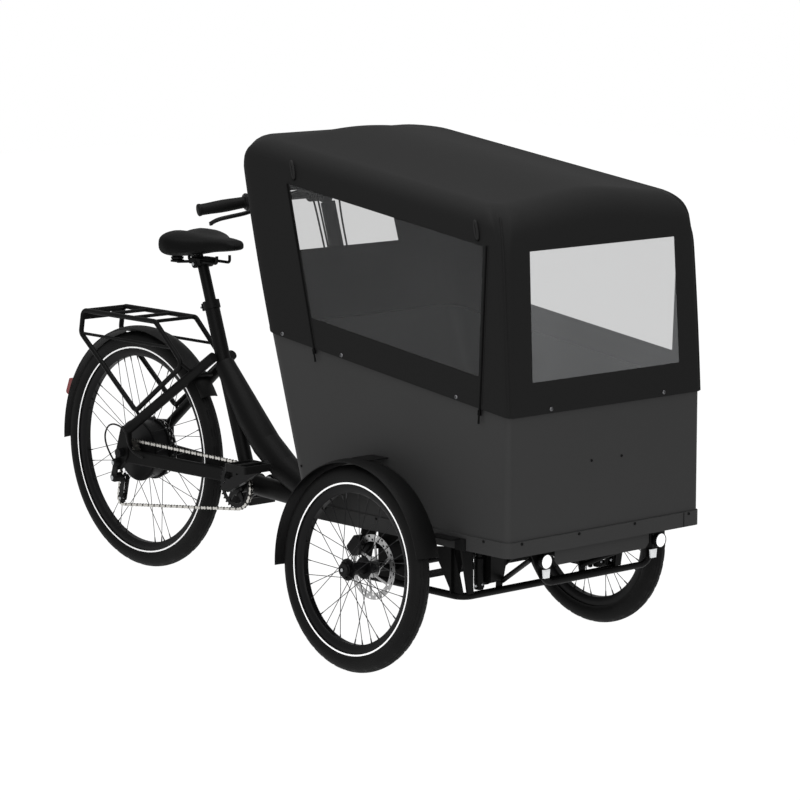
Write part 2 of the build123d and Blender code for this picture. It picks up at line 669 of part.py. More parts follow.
# Rack of bent tube: a closed loop each side, cross bars and a drilled plate at the back
# Columns: distance behind the front axle, height
RACK_LOOP = ((1203.0, RACK_TOP), (1085.0, 602.0), (1295.0, 450.0), (1540.0, 642.0), (1528.0, RACK_TOP))
RACK_CROSSBARS = (1209.0, 1313.0, 1418.0, 1522.0)
RACK_BEND = 18.0
RACK_LOW_RAIL = 642.0
RACK_LOW_RAIL_FRONT = 1134.0
RACK_LOW_RAIL_REAR = 1534.0
RACK_BOSS = 9.0
RACK_BOSS_CORNERS = (1, 2)
rack_tubes = []
for side, sign in SIDES:
    loop = [(front_axle_x - back, sign * RACK_OFFSET, height) for back, height in RACK_LOOP]
    rack_tubes.append(bent_tube(loop, RACK_TUBE, RACK_BEND, closed=True))
    low_front = (front_axle_x - RACK_LOW_RAIL_FRONT, sign * RACK_OFFSET, RACK_LOW_RAIL)
    low_rear = (front_axle_x - RACK_LOW_RAIL_REAR, sign * RACK_OFFSET, RACK_LOW_RAIL)
    rack_tubes.append(straight_rod(low_front, low_rear, RACK_TUBE * 0.6))
    low_end, high_end = seat_stay_ends(sign)
    along = (high_end - low_end).normalized()
    for corner in RACK_BOSS_CORNERS:
        before, middle, after = (Vector(*loop[corner + step]) for step in (-1, 0, 1))
        inward = ((before - middle).normalized() + (after - middle).normalized()).normalized()
        tube_centre = middle + inward * RACK_BEND * 0.25
        on_stay = low_end + along * (tube_centre - low_end).dot(along)
        reach = tube_centre - on_stay
        boss_end = on_stay + reach.normalized() * (SEAT_STAY_DIAMETER / 2 + GUARD_SEAT_GAP)
        rack_tubes.append(straight_rod(tuple(tube_centre), tuple(boss_end), RACK_BOSS))
for back in RACK_CROSSBARS:
    bar_right = (front_axle_x - back, -RACK_OFFSET, RACK_TOP)
    bar_left = (front_axle_x - back, RACK_OFFSET, RACK_TOP)
    rack_tubes.append(straight_rod(bar_right, bar_left, RACK_TUBE * 0.7))
RACK_PLATE_HEIGHT = 26.0
RACK_PLATE_THICKNESS = 3.0
rack_plate_x = front_axle_x - RACK_CROSSBARS[-1] - RACK_TUBE * 0.35
rack_plate_z = RACK_TOP - RACK_PLATE_HEIGHT / 2
with BuildPart() as rack:
    for tube in rack_tubes:
        add(tube)
    with Locations((rack_plate_x, 0, rack_plate_z)):
        Box(RACK_PLATE_THICKNESS, 2 * RACK_OFFSET, RACK_PLATE_HEIGHT)
    with BuildSketch(Plane.YZ.offset(rack_plate_x)):
        with Locations((0, rack_plate_z)):
            with GridLocations(RACK_PLATE_HOLE_SPACING, 0, 2, 1):
                Circle(RACK_PLATE_HOLE_RADIUS)
    extrude(amount=2 * RACK_PLATE_THICKNESS, both=True, mode=Mode.SUBTRACT)
save(rack.part, "rack")

# Crankset: spindle, chainring, arms and pedals
SPINDLE_RADIUS = PIVOT_PIN_RADIUS
crank_turn = math.radians(CRANK_ANGLE)
with BuildPart() as crank_spindle:
    with Locations(Location((bracket_x, 0, BRACKET_HEIGHT), (90, 0, 0))):
        Cylinder(SPINDLE_RADIUS, 2 * CRANK_OFFSET)
save(crank_spindle.part, "crank_spindle")

chainring_tip = CHAINRING_RADIUS - CHAIN_HALF_HEIGHT - CHAIN_TOOTH_GAP
CHAINRING_BAND = 14.0
CHAINRING_THICKNESS = 4.0
SPIDER_RADIUS = 24.0
SPIDER_ARM = 16.0
with BuildPart() as chainring:
    with BuildSketch(Plane.XZ.offset(CHAIN_LINE)):
        with Locations((bracket_x, BRACKET_HEIGHT)):
            Circle(chainring_tip)
            Circle(chainring_tip - CHAINRING_BAND, mode=Mode.SUBTRACT)
            Circle(SPIDER_RADIUS)
            with PolarLocations(chainring_tip / 2, 5, start_angle=CRANK_ANGLE):
                Rectangle(chainring_tip - CHAINRING_BAND / 2, SPIDER_ARM)
            Circle(SPINDLE_RADIUS + SHAFT_CLEARANCE, mode=Mode.SUBTRACT)
    extrude(amount=CHAINRING_THICKNESS / 2, both=True)
save(chainring.part, "chainring")

CRANK_EYE = 15.0
CRANK_TIP = 11.0
PEDAL_LENGTH = 84.0
PEDAL_HEIGHT = 20.0
PEDAL_RAIL = 10.0
PEDAL_GAP = 6.0
PEDAL_AXLE_RADIUS = 6.0
# Columns: side name, sign of y, sign of the arm's direction along the crank line
CRANKS = (("right", -1, 1), ("left", 1, -1))
crank_arms = []
pedals = []
for side, sign, way in CRANKS:
    tip_x = bracket_x + way * CRANK_LENGTH * math.cos(crank_turn)
    tip_z = BRACKET_HEIGHT + way * CRANK_LENGTH * math.sin(crank_turn)
    arm_inner = CRANK_OFFSET + SHAFT_CLEARANCE
    with BuildPart() as crank_arm:
        with BuildSketch(Plane.XZ.offset(-sign * (arm_inner + CRANK_THICKNESS / 2))):
            with Locations((bracket_x, BRACKET_HEIGHT)):
                Circle(CRANK_EYE)
            with Locations((tip_x, tip_z)):
                Circle(CRANK_TIP)
            make_hull()
        extrude(amount=CRANK_THICKNESS / 2, both=True)
    crank_arms.append(crank_arm.part)
    pedal_inner = arm_inner + CRANK_THICKNESS + PEDAL_GAP
    with BuildPart() as pedal:
        with Locations((tip_x, sign * (pedal_inner + PEDAL_WIDTH / 2), tip_z)):
            Box(PEDAL_LENGTH, PEDAL_WIDTH, PEDAL_HEIGHT)
            for end in (-1, 1):
                with Locations((end * (PEDAL_LENGTH / 4 + PEDAL_RAIL / 4), 0, 0)):
                    Box(
                        PEDAL_LENGTH / 2 - 1.5 * PEDAL_RAIL,
                        PEDAL_WIDTH - 2 * PEDAL_RAIL,
                        2 * PEDAL_HEIGHT,
                        mode=Mode.SUBTRACT,
                    )
        with Locations(Location((tip_x, sign * (pedal_inner - PEDAL_GAP / 2), tip_z), (90, 0, 0))):
            Cylinder(PEDAL_AXLE_RADIUS, PEDAL_GAP)
        fillet(pedal.edges().filter_by(Axis.Z).group_by(Axis.X)[0], PEDAL_RAIL / 2)
        fillet(pedal.edges().filter_by(Axis.Z).group_by(Axis.X)[-1], PEDAL_RAIL / 2)
    pedals.append(pedal.part)
save(joined(crank_arms), "crank_arms")
save(joined(pedals), "pedals")

# Chain round sprocket, lower derailleur pulley and chainring
PULLEY_BACK = 37.0
PULLEY_DROP = 137.0
pulley_x = rear_axle_x - PULLEY_BACK
pulley_z = rear_axle_height - PULLEY_DROP
# Columns: x, z and pitch radius of each toothed wheel that the chain runs round
CHAIN_WHEELS = (
    (rear_axle_x, rear_axle_height, SPROCKET_RADIUS),
    (pulley_x, pulley_z, PULLEY_RADIUS),
    (bracket_x, BRACKET_HEIGHT, CHAINRING_RADIUS),
)
with BuildPart() as chain:
    with BuildSketch(Plane.XZ.offset(CHAIN_LINE)):
        for x, z, radius in CHAIN_WHEELS:
            with Locations((x, z)):
                Circle(radius + CHAIN_HALF_HEIGHT)
        make_hull()
    extrude(amount=CHAIN_WIDTH / 2, both=True)
    with BuildSketch(Plane.XZ.offset(CHAIN_LINE)):
        for x, z, radius in CHAIN_WHEELS:
            with Locations((x, z)):
                Circle(radius - CHAIN_HALF_HEIGHT)
        make_hull()
    extrude(amount=CHAIN_WIDTH, both=True, mode=Mode.SUBTRACT)
save(chain.part, "chain")

# Derailleur: knuckle on the hanger, link and cage with two pulleys in the chain's plane
CAGE_PLATE = 2.5
CAGE_GAP = 11.0
CAGE_WIDTH = 20.0
KNUCKLE_RADIUS = 10.0
KNUCKLE_HEIGHT = 16.0
LINK_THICKNESS = 12.0
GUIDE_PULLEY_BACK = 24.0
GUIDE_PULLEY_DROP = 78.0
guide_x = rear_axle_x - GUIDE_PULLEY_BACK
guide_z = rear_axle_height - GUIDE_PULLEY_DROP
pulley_tip = PULLEY_RADIUS - CHAIN_HALF_HEIGHT - CHAIN_TOOTH_GAP
cage_outer = CHAIN_LINE + CAGE_GAP / 2 + CAGE_PLATE
knuckle_out = dropout_outer + GUARD_SEAT_GAP
with BuildPart() as derailleur:
    for plate_side in (-1, 1):
        with BuildSketch(Plane.XZ.offset(CHAIN_LINE + plate_side * (CAGE_GAP + CAGE_PLATE) / 2)):
            with Locations((guide_x, guide_z), (pulley_x, pulley_z)):
                Circle(CAGE_WIDTH / 2)
            make_hull()
        extrude(amount=CAGE_PLATE / 2, both=True)
    with BuildSketch(Plane.XZ.offset(CHAIN_LINE)):
        with Locations((guide_x, guide_z), (pulley_x, pulley_z)):
            Circle(pulley_tip)
    extrude(amount=CAGE_GAP / 2, both=True)
    with BuildSketch(Plane.XZ.offset(cage_outer)):
        with Locations((guide_x, guide_z)):
            Circle(CAGE_WIDTH * 0.4)
    extrude(amount=knuckle_out + KNUCKLE_HEIGHT - cage_outer)
    with BuildSketch(Plane.XZ.offset(knuckle_out + KNUCKLE_HEIGHT - LINK_THICKNESS)):
        with Locations((guide_x, guide_z)):
            Circle(CAGE_WIDTH * 0.4)
        with Locations((hanger_x, hanger_z)):
            Circle(KNUCKLE_RADIUS)
        make_hull()
    extrude(amount=LINK_THICKNESS)
    with BuildSketch(Plane.XZ.offset(knuckle_out)):
        with Locations((hanger_x, hanger_z)):
            Circle(KNUCKLE_RADIUS)
    extrude(amount=KNUCKLE_HEIGHT)
save(derailleur.part, "derailleur")

# Shift cable in a loop from the chain stay's end to the derailleur
CABLE_DIAMETER = 5.0
CABLE_BEND = 20.0
# Columns: distance ahead of the rear axle, distance out from the middle, rise above the axle
SHIFT_CABLE = (
    (85.0, 75.7, -6.0),
    (52.0, 98.0, 8.0),
    (44.0, 100.0, 74.0),
    (-36.0, 100.0, 84.0),
    (-62.0, 100.0, 22.0),
    (-22.0, 91.0, -27.6),
)
shift_cable = bent_tube(
    [(rear_axle_x + ahead, -out, rear_axle_height + rise) for ahead, out, rise in SHIFT_CABLE],
    CABLE_DIAMETER,
    CABLE_BEND,
)
save(shift_cable, "shift_cable")

# Brake calipers, each a block with a slot for its disc
CALIPER_CORNER = 6.0
CALIPER_ARM = 22.0
DISC_RUNNING_GAP = 2.0


def make_caliper(offset, angle, arm):
    """Caliper that straddles a disc at an offset along the axle, at an angle from the front.

    An arm reaches inward to what carries it.
    """
    turn = math.radians(angle)
    reach = DISC_RADIUS - DISC_TRACK / 2
    with BuildPart() as caliper:
        with Locations(Location((reach * math.cos(turn), reach * math.sin(turn), offset), (0, 0, angle))):
            Box(CALIPER_HEIGHT, CALIPER_LENGTH, 2 * CALIPER_HALF_WIDTH)
        fillet(caliper.edges().filter_by(Axis.Z), CALIPER_CORNER)
        if arm:
            arm_end = offset - CALIPER_HALF_WIDTH
            with Locations((reach * math.cos(turn), reach * math.sin(turn), arm_end)):
                Box(CALIPER_ARM, CALIPER_ARM, arm, align=(Align.CENTER, Align.CENTER, Align.MAX))
        with Locations((0, 0, offset)):
            slot_width = DISC_THICKNESS + 2 * DISC_RUNNING_GAP
            Cylinder(DISC_RADIUS + DISC_RUNNING_GAP, slot_width, mode=Mode.SUBTRACT)
    return caliper.part


# Box: loft of two rounded plans, hollowed and parted where its panels meet


def rounded_tub(low, high, inset, front_low, front_high, spare=0.0):
    """Closed body with the box's leaning back wall between two heights, moved in by an inset.

    Its sides stand out by the spare width, for a later cut.
    """
    with BuildPart() as tub:
        for height, front in ((low, front_low), (high, front_high)):
            back = rear_face_x(height) + inset
            with BuildSketch(Plane.XY.offset(height)):
                with Locations(((front - inset + back) / 2, 0)):
                    Rectangle(front - inset - back, 2 * (BOX_HALF_WIDTH - inset + spare))
                fillet(vertices().group_by(Axis.X)[0], REAR_CORNER_RADIUS - inset)
                fillet(vertices().group_by(Axis.X)[-1], FRONT_CORNER_RADIUS - inset)
        loft()
    return tub.part


def cut_piece(body, *cuts):
    """What is left of a body on the kept side of each plane."""
    with BuildPart() as piece:
        add(body)
        for plane, keep in cuts:
            split(bisect_by=plane, keep=keep)
    return piece.part


box_front_x = front_axle_x + BOX_FRONT
box_top_plane = slope_plane(box_front_x, HEM_FRONT_HEIGHT + BOX_RISE_UNDER_HEM, HEM_SLOPE)
BOX_LOFT_TOP = HEM_FRONT_HEIGHT + 234.0
tub_outer = rounded_tub(BOX_BASE, BOX_LOFT_TOP, 0, box_front_x, box_front_x)
tub_inner = rounded_tub(BOX_BASE, BOX_LOFT_TOP, BOX_WALL, box_front_x, box_front_x)
with BuildPart() as tub_shell:
    add(tub_outer)
    add(tub_inner, mode=Mode.SUBTRACT)
    split(bisect_by=box_top_plane, keep=Keep.BOTTOM)
front_seam = Plane(origin=(box_front_x - FRONT_CORNER_RADIUS, 0, BOX_BASE), z_dir=(1, 0, 0))
rear_seam = lean_plane(rear_face_x(BOX_BASE) + REAR_CORNER_RADIUS, BOX_BASE, REAR_WALL_LEAN)
between_seams = ((front_seam, Keep.BOTTOM), (rear_seam, Keep.TOP))
save(cut_piece(tub_shell.part, (front_seam, Keep.TOP)), "box_front")
save(cut_piece(tub_shell.part, (rear_seam, Keep.BOTTOM)), "box_rear")
save(cut_piece(tub_shell.part, *between_seams, (Plane.XZ, Keep.TOP)), "box_side_right")
save(cut_piece(tub_shell.part, *between_seams, (Plane.XZ, Keep.BOTTOM)), "box_side_left")
with BuildPart() as box_floor:
    add(tub_inner)
    split(bisect_by=Plane.XY.offset(BOX_BASE + BOX_FLOOR_RISE), keep=Keep.BOTTOM)
save(box_floor.part, "box_floor")

trim_outer = rounded_tub(BOX_BASE, BOX_BASE + TRIM_HEIGHT, -TRIM_THICKNESS, box_front_x, box_front_x)
trim_inner = rounded_tub(BOX_BASE, BOX_BASE + TRIM_HEIGHT, 0, box_front_x, box_front_x)
with BuildPart() as box_trim:
    add(trim_outer)
    add(trim_inner, mode=Mode.SUBTRACT)
save(box_trim.part, "box_trim")

# Canopy: the same plan carried up over the hem, under a crowned roof with rolled ends
CANOPY_LOFT_LOW = HEM_FRONT_HEIGHT - 66.0
CANOPY_LOFT_HIGH = roof_edge_height + 194.0
CANOPY_SPARE_WIDTH = 2.0


def canopy_front_x(height):
    return box_front_x - CANOPY_FRONT_LEAN * (height - HEM_FRONT_HEIGHT)


def canopy_body(depth):
    """Closed body of the canopy, its faces a depth inside the outer cloth."""
    inset = depth - SKIRT_GAP - CANOPY_WALL
    tub = rounded_tub(
        CANOPY_LOFT_LOW,
        CANOPY_LOFT_HIGH,
        inset,
        canopy_front_x(CANOPY_LOFT_LOW),
        canopy_front_x(CANOPY_LOFT_HIGH),
        CANOPY_SPARE_WIDTH,
    )
    half = canopy_half_width - depth
    start = box_front_x + 2 * TRIM_THICKNESS
    edge = roof_edge_height - depth - ROOF_SLOPE * (start - front_axle_x - ROOF_EDGE_AT)
    crown = edge + ROOF_CROWN
    back = rear_face_x(CANOPY_LOFT_HIGH) + inset
    with BuildPart() as body:
        with BuildSketch(Plane.XZ):
            with BuildLine():
                front = canopy_front_x(crown) - inset
                ridge = crown + CANOPY_SPARE_WIDTH
                Polyline(
                    (canopy_front_x(0) - inset + CANOPY_SPARE_WIDTH, 0),
                    (front + CANOPY_SPARE_WIDTH, ridge + ROOF_SLOPE * (start - front)),
                    (back - CANOPY_SPARE_WIDTH, ridge + ROOF_SLOPE * (start - back)),
                    (rear_face_x(0) + inset - CANOPY_SPARE_WIDTH, 0),
                    close=True,
                )
            make_face()
            fillet(vertices().sort_by(Axis.Y)[-2:].sort_by(Axis.X)[-1], ROOF_FRONT_RADIUS - depth)
            fillet(vertices().sort_by(Axis.Y)[-1], ROOF_REAR_RADIUS - depth)
        extrude(amount=2 * canopy_half_width, both=True)
        with BuildSketch(Plane.YZ.offset(start)):
            with BuildLine():
                Polyline((-half, edge), (-half, 0), (half, 0), (half, edge))
                ThreePointArc((half, edge), (0, crown), (-half, edge))
            make_face()
            fillet(vertices().sort_by(Axis.Y)[-2:], SHOULDER_RADIUS - depth)
        extrude(amount=2 * (start - back), dir=(-1, 0, ROOF_SLOPE), mode=Mode.INTERSECT)
        add(tub, mode=Mode.INTERSECT)
    return body.part


hem_plane = slope_plane(box_front_x, HEM_FRONT_HEIGHT, HEM_SLOPE)
roof_seam = slope_plane(front_axle_x + ROOF_EDGE_AT, roof_edge_height - ROOF_SEAM_DROP, ROOF_SLOPE)
# Zips part the side doors from the front and rear cloth. Columns: distance ahead of the axle at a
# height, the height, and how far the zip leans back with height
FRONT_ZIP = (356.0, 662.0, -0.057)
REAR_ZIP = (-235.0, 746.0, 0.247)
front_zip = lean_plane(front_axle_x + FRONT_ZIP[0], FRONT_ZIP[1], FRONT_ZIP[2])
rear_zip = lean_plane(front_axle_x + REAR_ZIP[0], REAR_ZIP[1], REAR_ZIP[2])

# Window outlines. Columns: distance ahead of the axle, rise above the front hem
SIDE_WINDOW = ((-334.0, 494.0), (365.0, 397.0), (355.0, 89.0), (-252.0, 170.0))
# Columns: half width, rise above the front hem
FRONT_WINDOW = ((249.0, 77.0), (244.0, 384.0))
REAR_WINDOW = ((180.0, 304.0), (178.0, 452.0))
WINDOW_REACH = 150.0


def window_outline(corners, shrink):
    """Rounded outline of a window, smaller all round by a gap."""
    with BuildSketch(mode=Mode.PRIVATE) as outline:
        with BuildLine():
            Polyline(*corners, close=True)
        make_face()
        if shrink:
            offset(amount=-shrink)
        fillet(outline.vertices(), WINDOW_CORNER - shrink)
    return outline.sketch


side_corners = [(front_axle_x + ahead, HEM_FRONT_HEIGHT + rise) for ahead, rise in SIDE_WINDOW]


def end_corners(rows):
    (low_half, low_rise), (high_half, high_rise) = rows
    low = HEM_FRONT_HEIGHT + low_rise
    high = HEM_FRONT_HEIGHT + high_rise
    return [(-low_half, low), (low_half, low), (high_half, high), (-high_half, high)]


def window_prism(shrink, name):
    """Body that passes through the cloth at one window."""
    with BuildPart() as prism:
        if name == "side":
            with BuildSketch(Plane.XZ):
                add(window_outline(side_corners, shrink))
            extrude(amount=2 * canopy_half_width, both=True)
        elif name == "front":
            with BuildSketch(Plane.YZ.offset(box_front_x)):
                add(window_outline(end_corners(FRONT_WINDOW), shrink))
            extrude(amount=WINDOW_REACH / 2, both=True)
        else:
            with BuildSketch(Plane.YZ.offset(rear_face_x(HEM_FRONT_HEIGHT + REAR_WINDOW[0][1]))):
                add(window_outline(end_corners(REAR_WINDOW), shrink))
            extrude(amount=WINDOW_REACH / 2, both=True)
    return prism.part


canopy_outer = canopy_body(0)
canopy_inner = canopy_body(CANOPY_WALL)
with BuildPart() as canopy_shell:
    add(canopy_outer)
    add(canopy_inner, mode=Mode.SUBTRACT)
    split(bisect_by=hem_plane, keep=Keep.TOP)
    for name in ("side", "front", "rear"):
        add(window_prism(0, name), mode=Mode.SUBTRACT)
below_roof = (roof_seam, Keep.BOTTOM)
between_zips = ((front_zip, Keep.BOTTOM), (rear_zip, Keep.TOP))
save(cut_piece(canopy_shell.part, (roof_seam, Keep.TOP)), "canopy_roof")
save(cut_piece(canopy_shell.part, below_roof, (front_zip, Keep.TOP)), "canopy_front")
save(cut_piece(canopy_shell.part, below_roof, (rear_zip, Keep.BOTTOM)), "canopy_rear")
save(cut_piece(canopy_shell.part, below_roof, *between_zips, (Plane.XZ, Keep.TOP)), "canopy_side_right")
save(cut_piece(canopy_shell.part, below_roof, *between_zips, (Plane.XZ, Keep.BOTTOM)), "canopy_side_left")

pane_inset = (CANOPY_WALL - WINDOW_THICKNESS) / 2
with BuildPart() as pane_shell:
    add(canopy_body(pane_inset))
    add(canopy_body(pane_inset + WINDOW_THICKNESS), mode=Mode.SUBTRACT)
for name in ("side", "front", "rear"):
    with BuildPart() as pane:
        add(pane_shell.part)
        add(window_prism(WINDOW_GAP, name), mode=Mode.INTERSECT)
    if name == "side":
        save(cut_piece(pane.part, (Plane.XZ, Keep.TOP)), "window_right")
        save(cut_piece(pane.part, (Plane.XZ, Keep.BOTTOM)), "window_left")
    else:
        save(pane.part, f"window_{name}")

# Sub-frame: bent loop of tube with wheel carriers, stub axles and legs up to the box floor
LOOP_TUBE = 18.0
LOOP_HEIGHT = 200.0
LOOP_OFFSET = 270.0
LOOP_FRONT = 235.0
LOOP_REAR = 150.0
LOOP_BEND = 30.0
PIVOT_HOUSING_RADIUS = 20.0
PIVOT_HOUSING_BOTTOM = 162.0
PIVOT_SEAT_GAP = 0.5
CROSS_BAR_WIDTH = 40.0
CROSS_BAR_THICKNESS = 8.0
CROSS_BAR_RISE = 10.0
CARRIER_WIDTH = 130.0
CARRIER_THICKNESS = 8.0
LEG_WIDTH = 46.0
LEG_FOOT_WIDTH = 16.0
LEG_THICKNESS = 6.0
LEG_AHEAD = 200.0
LEG_BEHIND = 120.0
BRACE_TUBE = 14.0
BRACE_AHEAD = 62.0
loop_corners = [
    (front_axle_x - LOOP_REAR, LOOP_OFFSET, LOOP_HEIGHT),
    (front_axle_x + LOOP_FRONT, LOOP_OFFSET, LOOP_HEIGHT),
    (front_axle_x + LOOP_FRONT, -LOOP_OFFSET, LOOP_HEIGHT),
    (front_axle_x - LOOP_REAR, -LOOP_OFFSET, LOOP_HEIGHT),
]
loop_tube = bent_tube(loop_corners, LOOP_TUBE, LOOP_BEND, closed=True)
braces = [
    straight_rod(
        (pivot_x + BRACE_AHEAD, 0, LOOP_HEIGHT + CROSS_BAR_RISE),
        (pivot_x + BRACE_AHEAD, sign * (LOOP_OFFSET - LEG_WIDTH), BOX_BASE - BRACE_TUBE / 2),
        BRACE_TUBE,
    )
    for side, sign in SIDES
]
stub_inner = FRONT_TRACK / 2 - LOOP_OFFSET
stub_axles = []
for side, sign in SIDES:
    wheel = front_wheel_place(sign)
    stub_end = FRONT_HUB_INNER - STUB_AXLE_ENGAGEMENT
    inner = wheel.from_local_coords((0, 0, -stub_inner))
    outer = wheel.from_local_coords((0, 0, -stub_end))
    shoulder = wheel.from_local_coords((0, 0, -FRONT_HUB_INNER - SHAFT_CLEARANCE))
    stub_axles.append(straight_rod(tuple(inner), tuple(outer), 2 * STUB_AXLE_RADIUS))
    stub_axles.append(straight_rod(tuple(inner), tuple(shoulder), 3 * STUB_AXLE_RADIUS))
with BuildPart() as subframe:
    add(loop_tube)
    for sign in (-1, 1):
        with Locations((front_axle_x, sign * LOOP_OFFSET, LOOP_HEIGHT)):
            Box(
                CARRIER_WIDTH,
                CARRIER_THICKNESS,
                BOX_BASE - LOOP_HEIGHT,
                align=(Align.CENTER, Align.CENTER, Align.MIN),
            )
        for ahead in (LEG_AHEAD, -LEG_BEHIND):
            with BuildSketch(Plane.YZ.offset(front_axle_x + ahead)):
                with BuildLine():
                    Polyline(
                        (sign * (LOOP_OFFSET - LEG_FOOT_WIDTH / 2), LOOP_HEIGHT),
                        (sign * (LOOP_OFFSET + LEG_FOOT_WIDTH / 2), LOOP_HEIGHT),
                        (sign * (LOOP_OFFSET + LEG_FOOT_WIDTH / 2), BOX_BASE),
                        (sign * (LOOP_OFFSET - LEG_WIDTH), BOX_BASE),
                        close=True,
                    )
                make_face()
            extrude(amount=LEG_THICKNESS / 2, both=True)
    for stub in stub_axles:
        add(stub)
save(subframe.part, "subframe")

# Pivot housing on a cross bar between the loop's sides, with its pin and braces to the box
cross_bar_half = LOOP_OFFSET - LOOP_TUBE / 2 - PIVOT_SEAT_GAP
with BuildPart() as pivot_housing:
    for brace in braces:
        add(brace)
    with Locations((pivot_x, 0, LOOP_HEIGHT + CROSS_BAR_RISE)):
        Box(CROSS_BAR_WIDTH, 2 * cross_bar_half, CROSS_BAR_THICKNESS)
    with Locations((pivot_x + BRACE_AHEAD / 2, 0, LOOP_HEIGHT + CROSS_BAR_RISE)):
        Box(BRACE_AHEAD, CROSS_BAR_WIDTH, CROSS_BAR_THICKNESS)
    with Locations((pivot_x, 0, PIVOT_HOUSING_BOTTOM)):
        Cylinder(
            PIVOT_HOUSING_RADIUS,
            HEAD_TUBE_BOTTOM - PIVOT_SEAT_GAP - PIVOT_HOUSING_BOTTOM,
            align=(Align.CENTER, Align.CENTER, Align.MIN),
        )
        Cylinder(
            PIVOT_PIN_RADIUS,
            BOX_BASE - PIVOT_HOUSING_BOTTOM,
            align=(Align.CENTER, Align.CENTER, Align.MIN),
        )
save(pivot_housing.part, "pivot_housing")

# Calipers on the carriers and at the left dropout
FRONT_CALIPER_ANGLE = 140.0
CALIPER_SEAT_GAP = 0.4
caliper_rise = (DISC_RADIUS - DISC_TRACK / 2) * math.sin(math.radians(FRONT_CALIPER_ANGLE))
carrier_face = FRONT_TRACK / 2 - LOOP_OFFSET - CARRIER_THICKNESS / 2
caliper_arm = carrier_face - FRONT_DISC_OFFSET - CALIPER_HALF_WIDTH - CALIPER_SEAT_GAP
caliper_arm -= (caliper_rise + CALIPER_ARM / 2) * math.sin(camber)
front_calipers = []
for side, sign in SIDES:
    place = front_wheel_place(sign).location
    caliper = make_caliper(-FRONT_DISC_OFFSET, -sign * FRONT_CALIPER_ANGLE, caliper_arm)
    front_calipers.append(caliper.moved(place))
save(joined(front_calipers), "front_calipers")
save(make_caliper(-REAR_DISC_OFFSET, REAR_CALIPER_ANGLE, 0).moved(rear_place), "rear_caliper")

# Lamp bar under the front of the box, with its lamps and square reflectors
LAMP_BAR_TUBE = 16.0
LAMP_BAR_AHEAD = 420.0
LAMP_BAR_HEIGHT = 250.0
LAMP_BAR_OFFSET = 185.0
LAMP_BAR_BEND = 34.0
LAMP_RADIUS = 18.0
LAMP_DEPTH = 20.0
LAMP_HEIGHT = 309.0
LAMP_OFFSET = 195.0
REFLECTOR_WIDTH = 22.0
REFLECTOR_HEIGHT = 24.0
REFLECTOR_DEPTH = 6.0
REFLECTOR_CENTRE = 276.0
lamp_bar_x = front_axle_x + LAMP_BAR_AHEAD
lamp_seat_x = lamp_bar_x + LAMP_BAR_TUBE / 2 + 0.3
lamp_bar = bent_tube(
    [
        (lamp_bar_x, -LAMP_BAR_OFFSET, BOX_BASE),
        (lamp_bar_x, -LAMP_BAR_OFFSET, LAMP_BAR_HEIGHT),
        (lamp_bar_x, LAMP_BAR_OFFSET, LAMP_BAR_HEIGHT),
        (lamp_bar_x, LAMP_BAR_OFFSET, BOX_BASE),
    ],
    LAMP_BAR_TUBE,
    LAMP_BAR_BEND,
)
save(lamp_bar, "lamp_bar")
lamps = []
reflectors = []
for side, sign in SIDES:
    with BuildPart() as lamp:
        with Locations(Location((lamp_seat_x, sign * LAMP_OFFSET, LAMP_HEIGHT), (0, 90, 0))):
            Cylinder(LAMP_RADIUS, LAMP_DEPTH, align=(Align.CENTER, Align.CENTER, Align.MIN))
        chamfer(lamp.edges().sort_by(Axis.X)[-1], 2.0)
    lamps.append(lamp.part)
    with BuildPart() as reflector:
        with Locations((lamp_seat_x, sign * LAMP_BAR_OFFSET, REFLECTOR_CENTRE)):
            Box(
                REFLECTOR_DEPTH,
                REFLECTOR_WIDTH,
                REFLECTOR_HEIGHT,
                align=(Align.MIN, Align.CENTER, Align.CENTER),
            )
    reflectors.append(reflector.part)
save(joined(lamps), "lamps")
save(joined(reflectors), "reflectors")

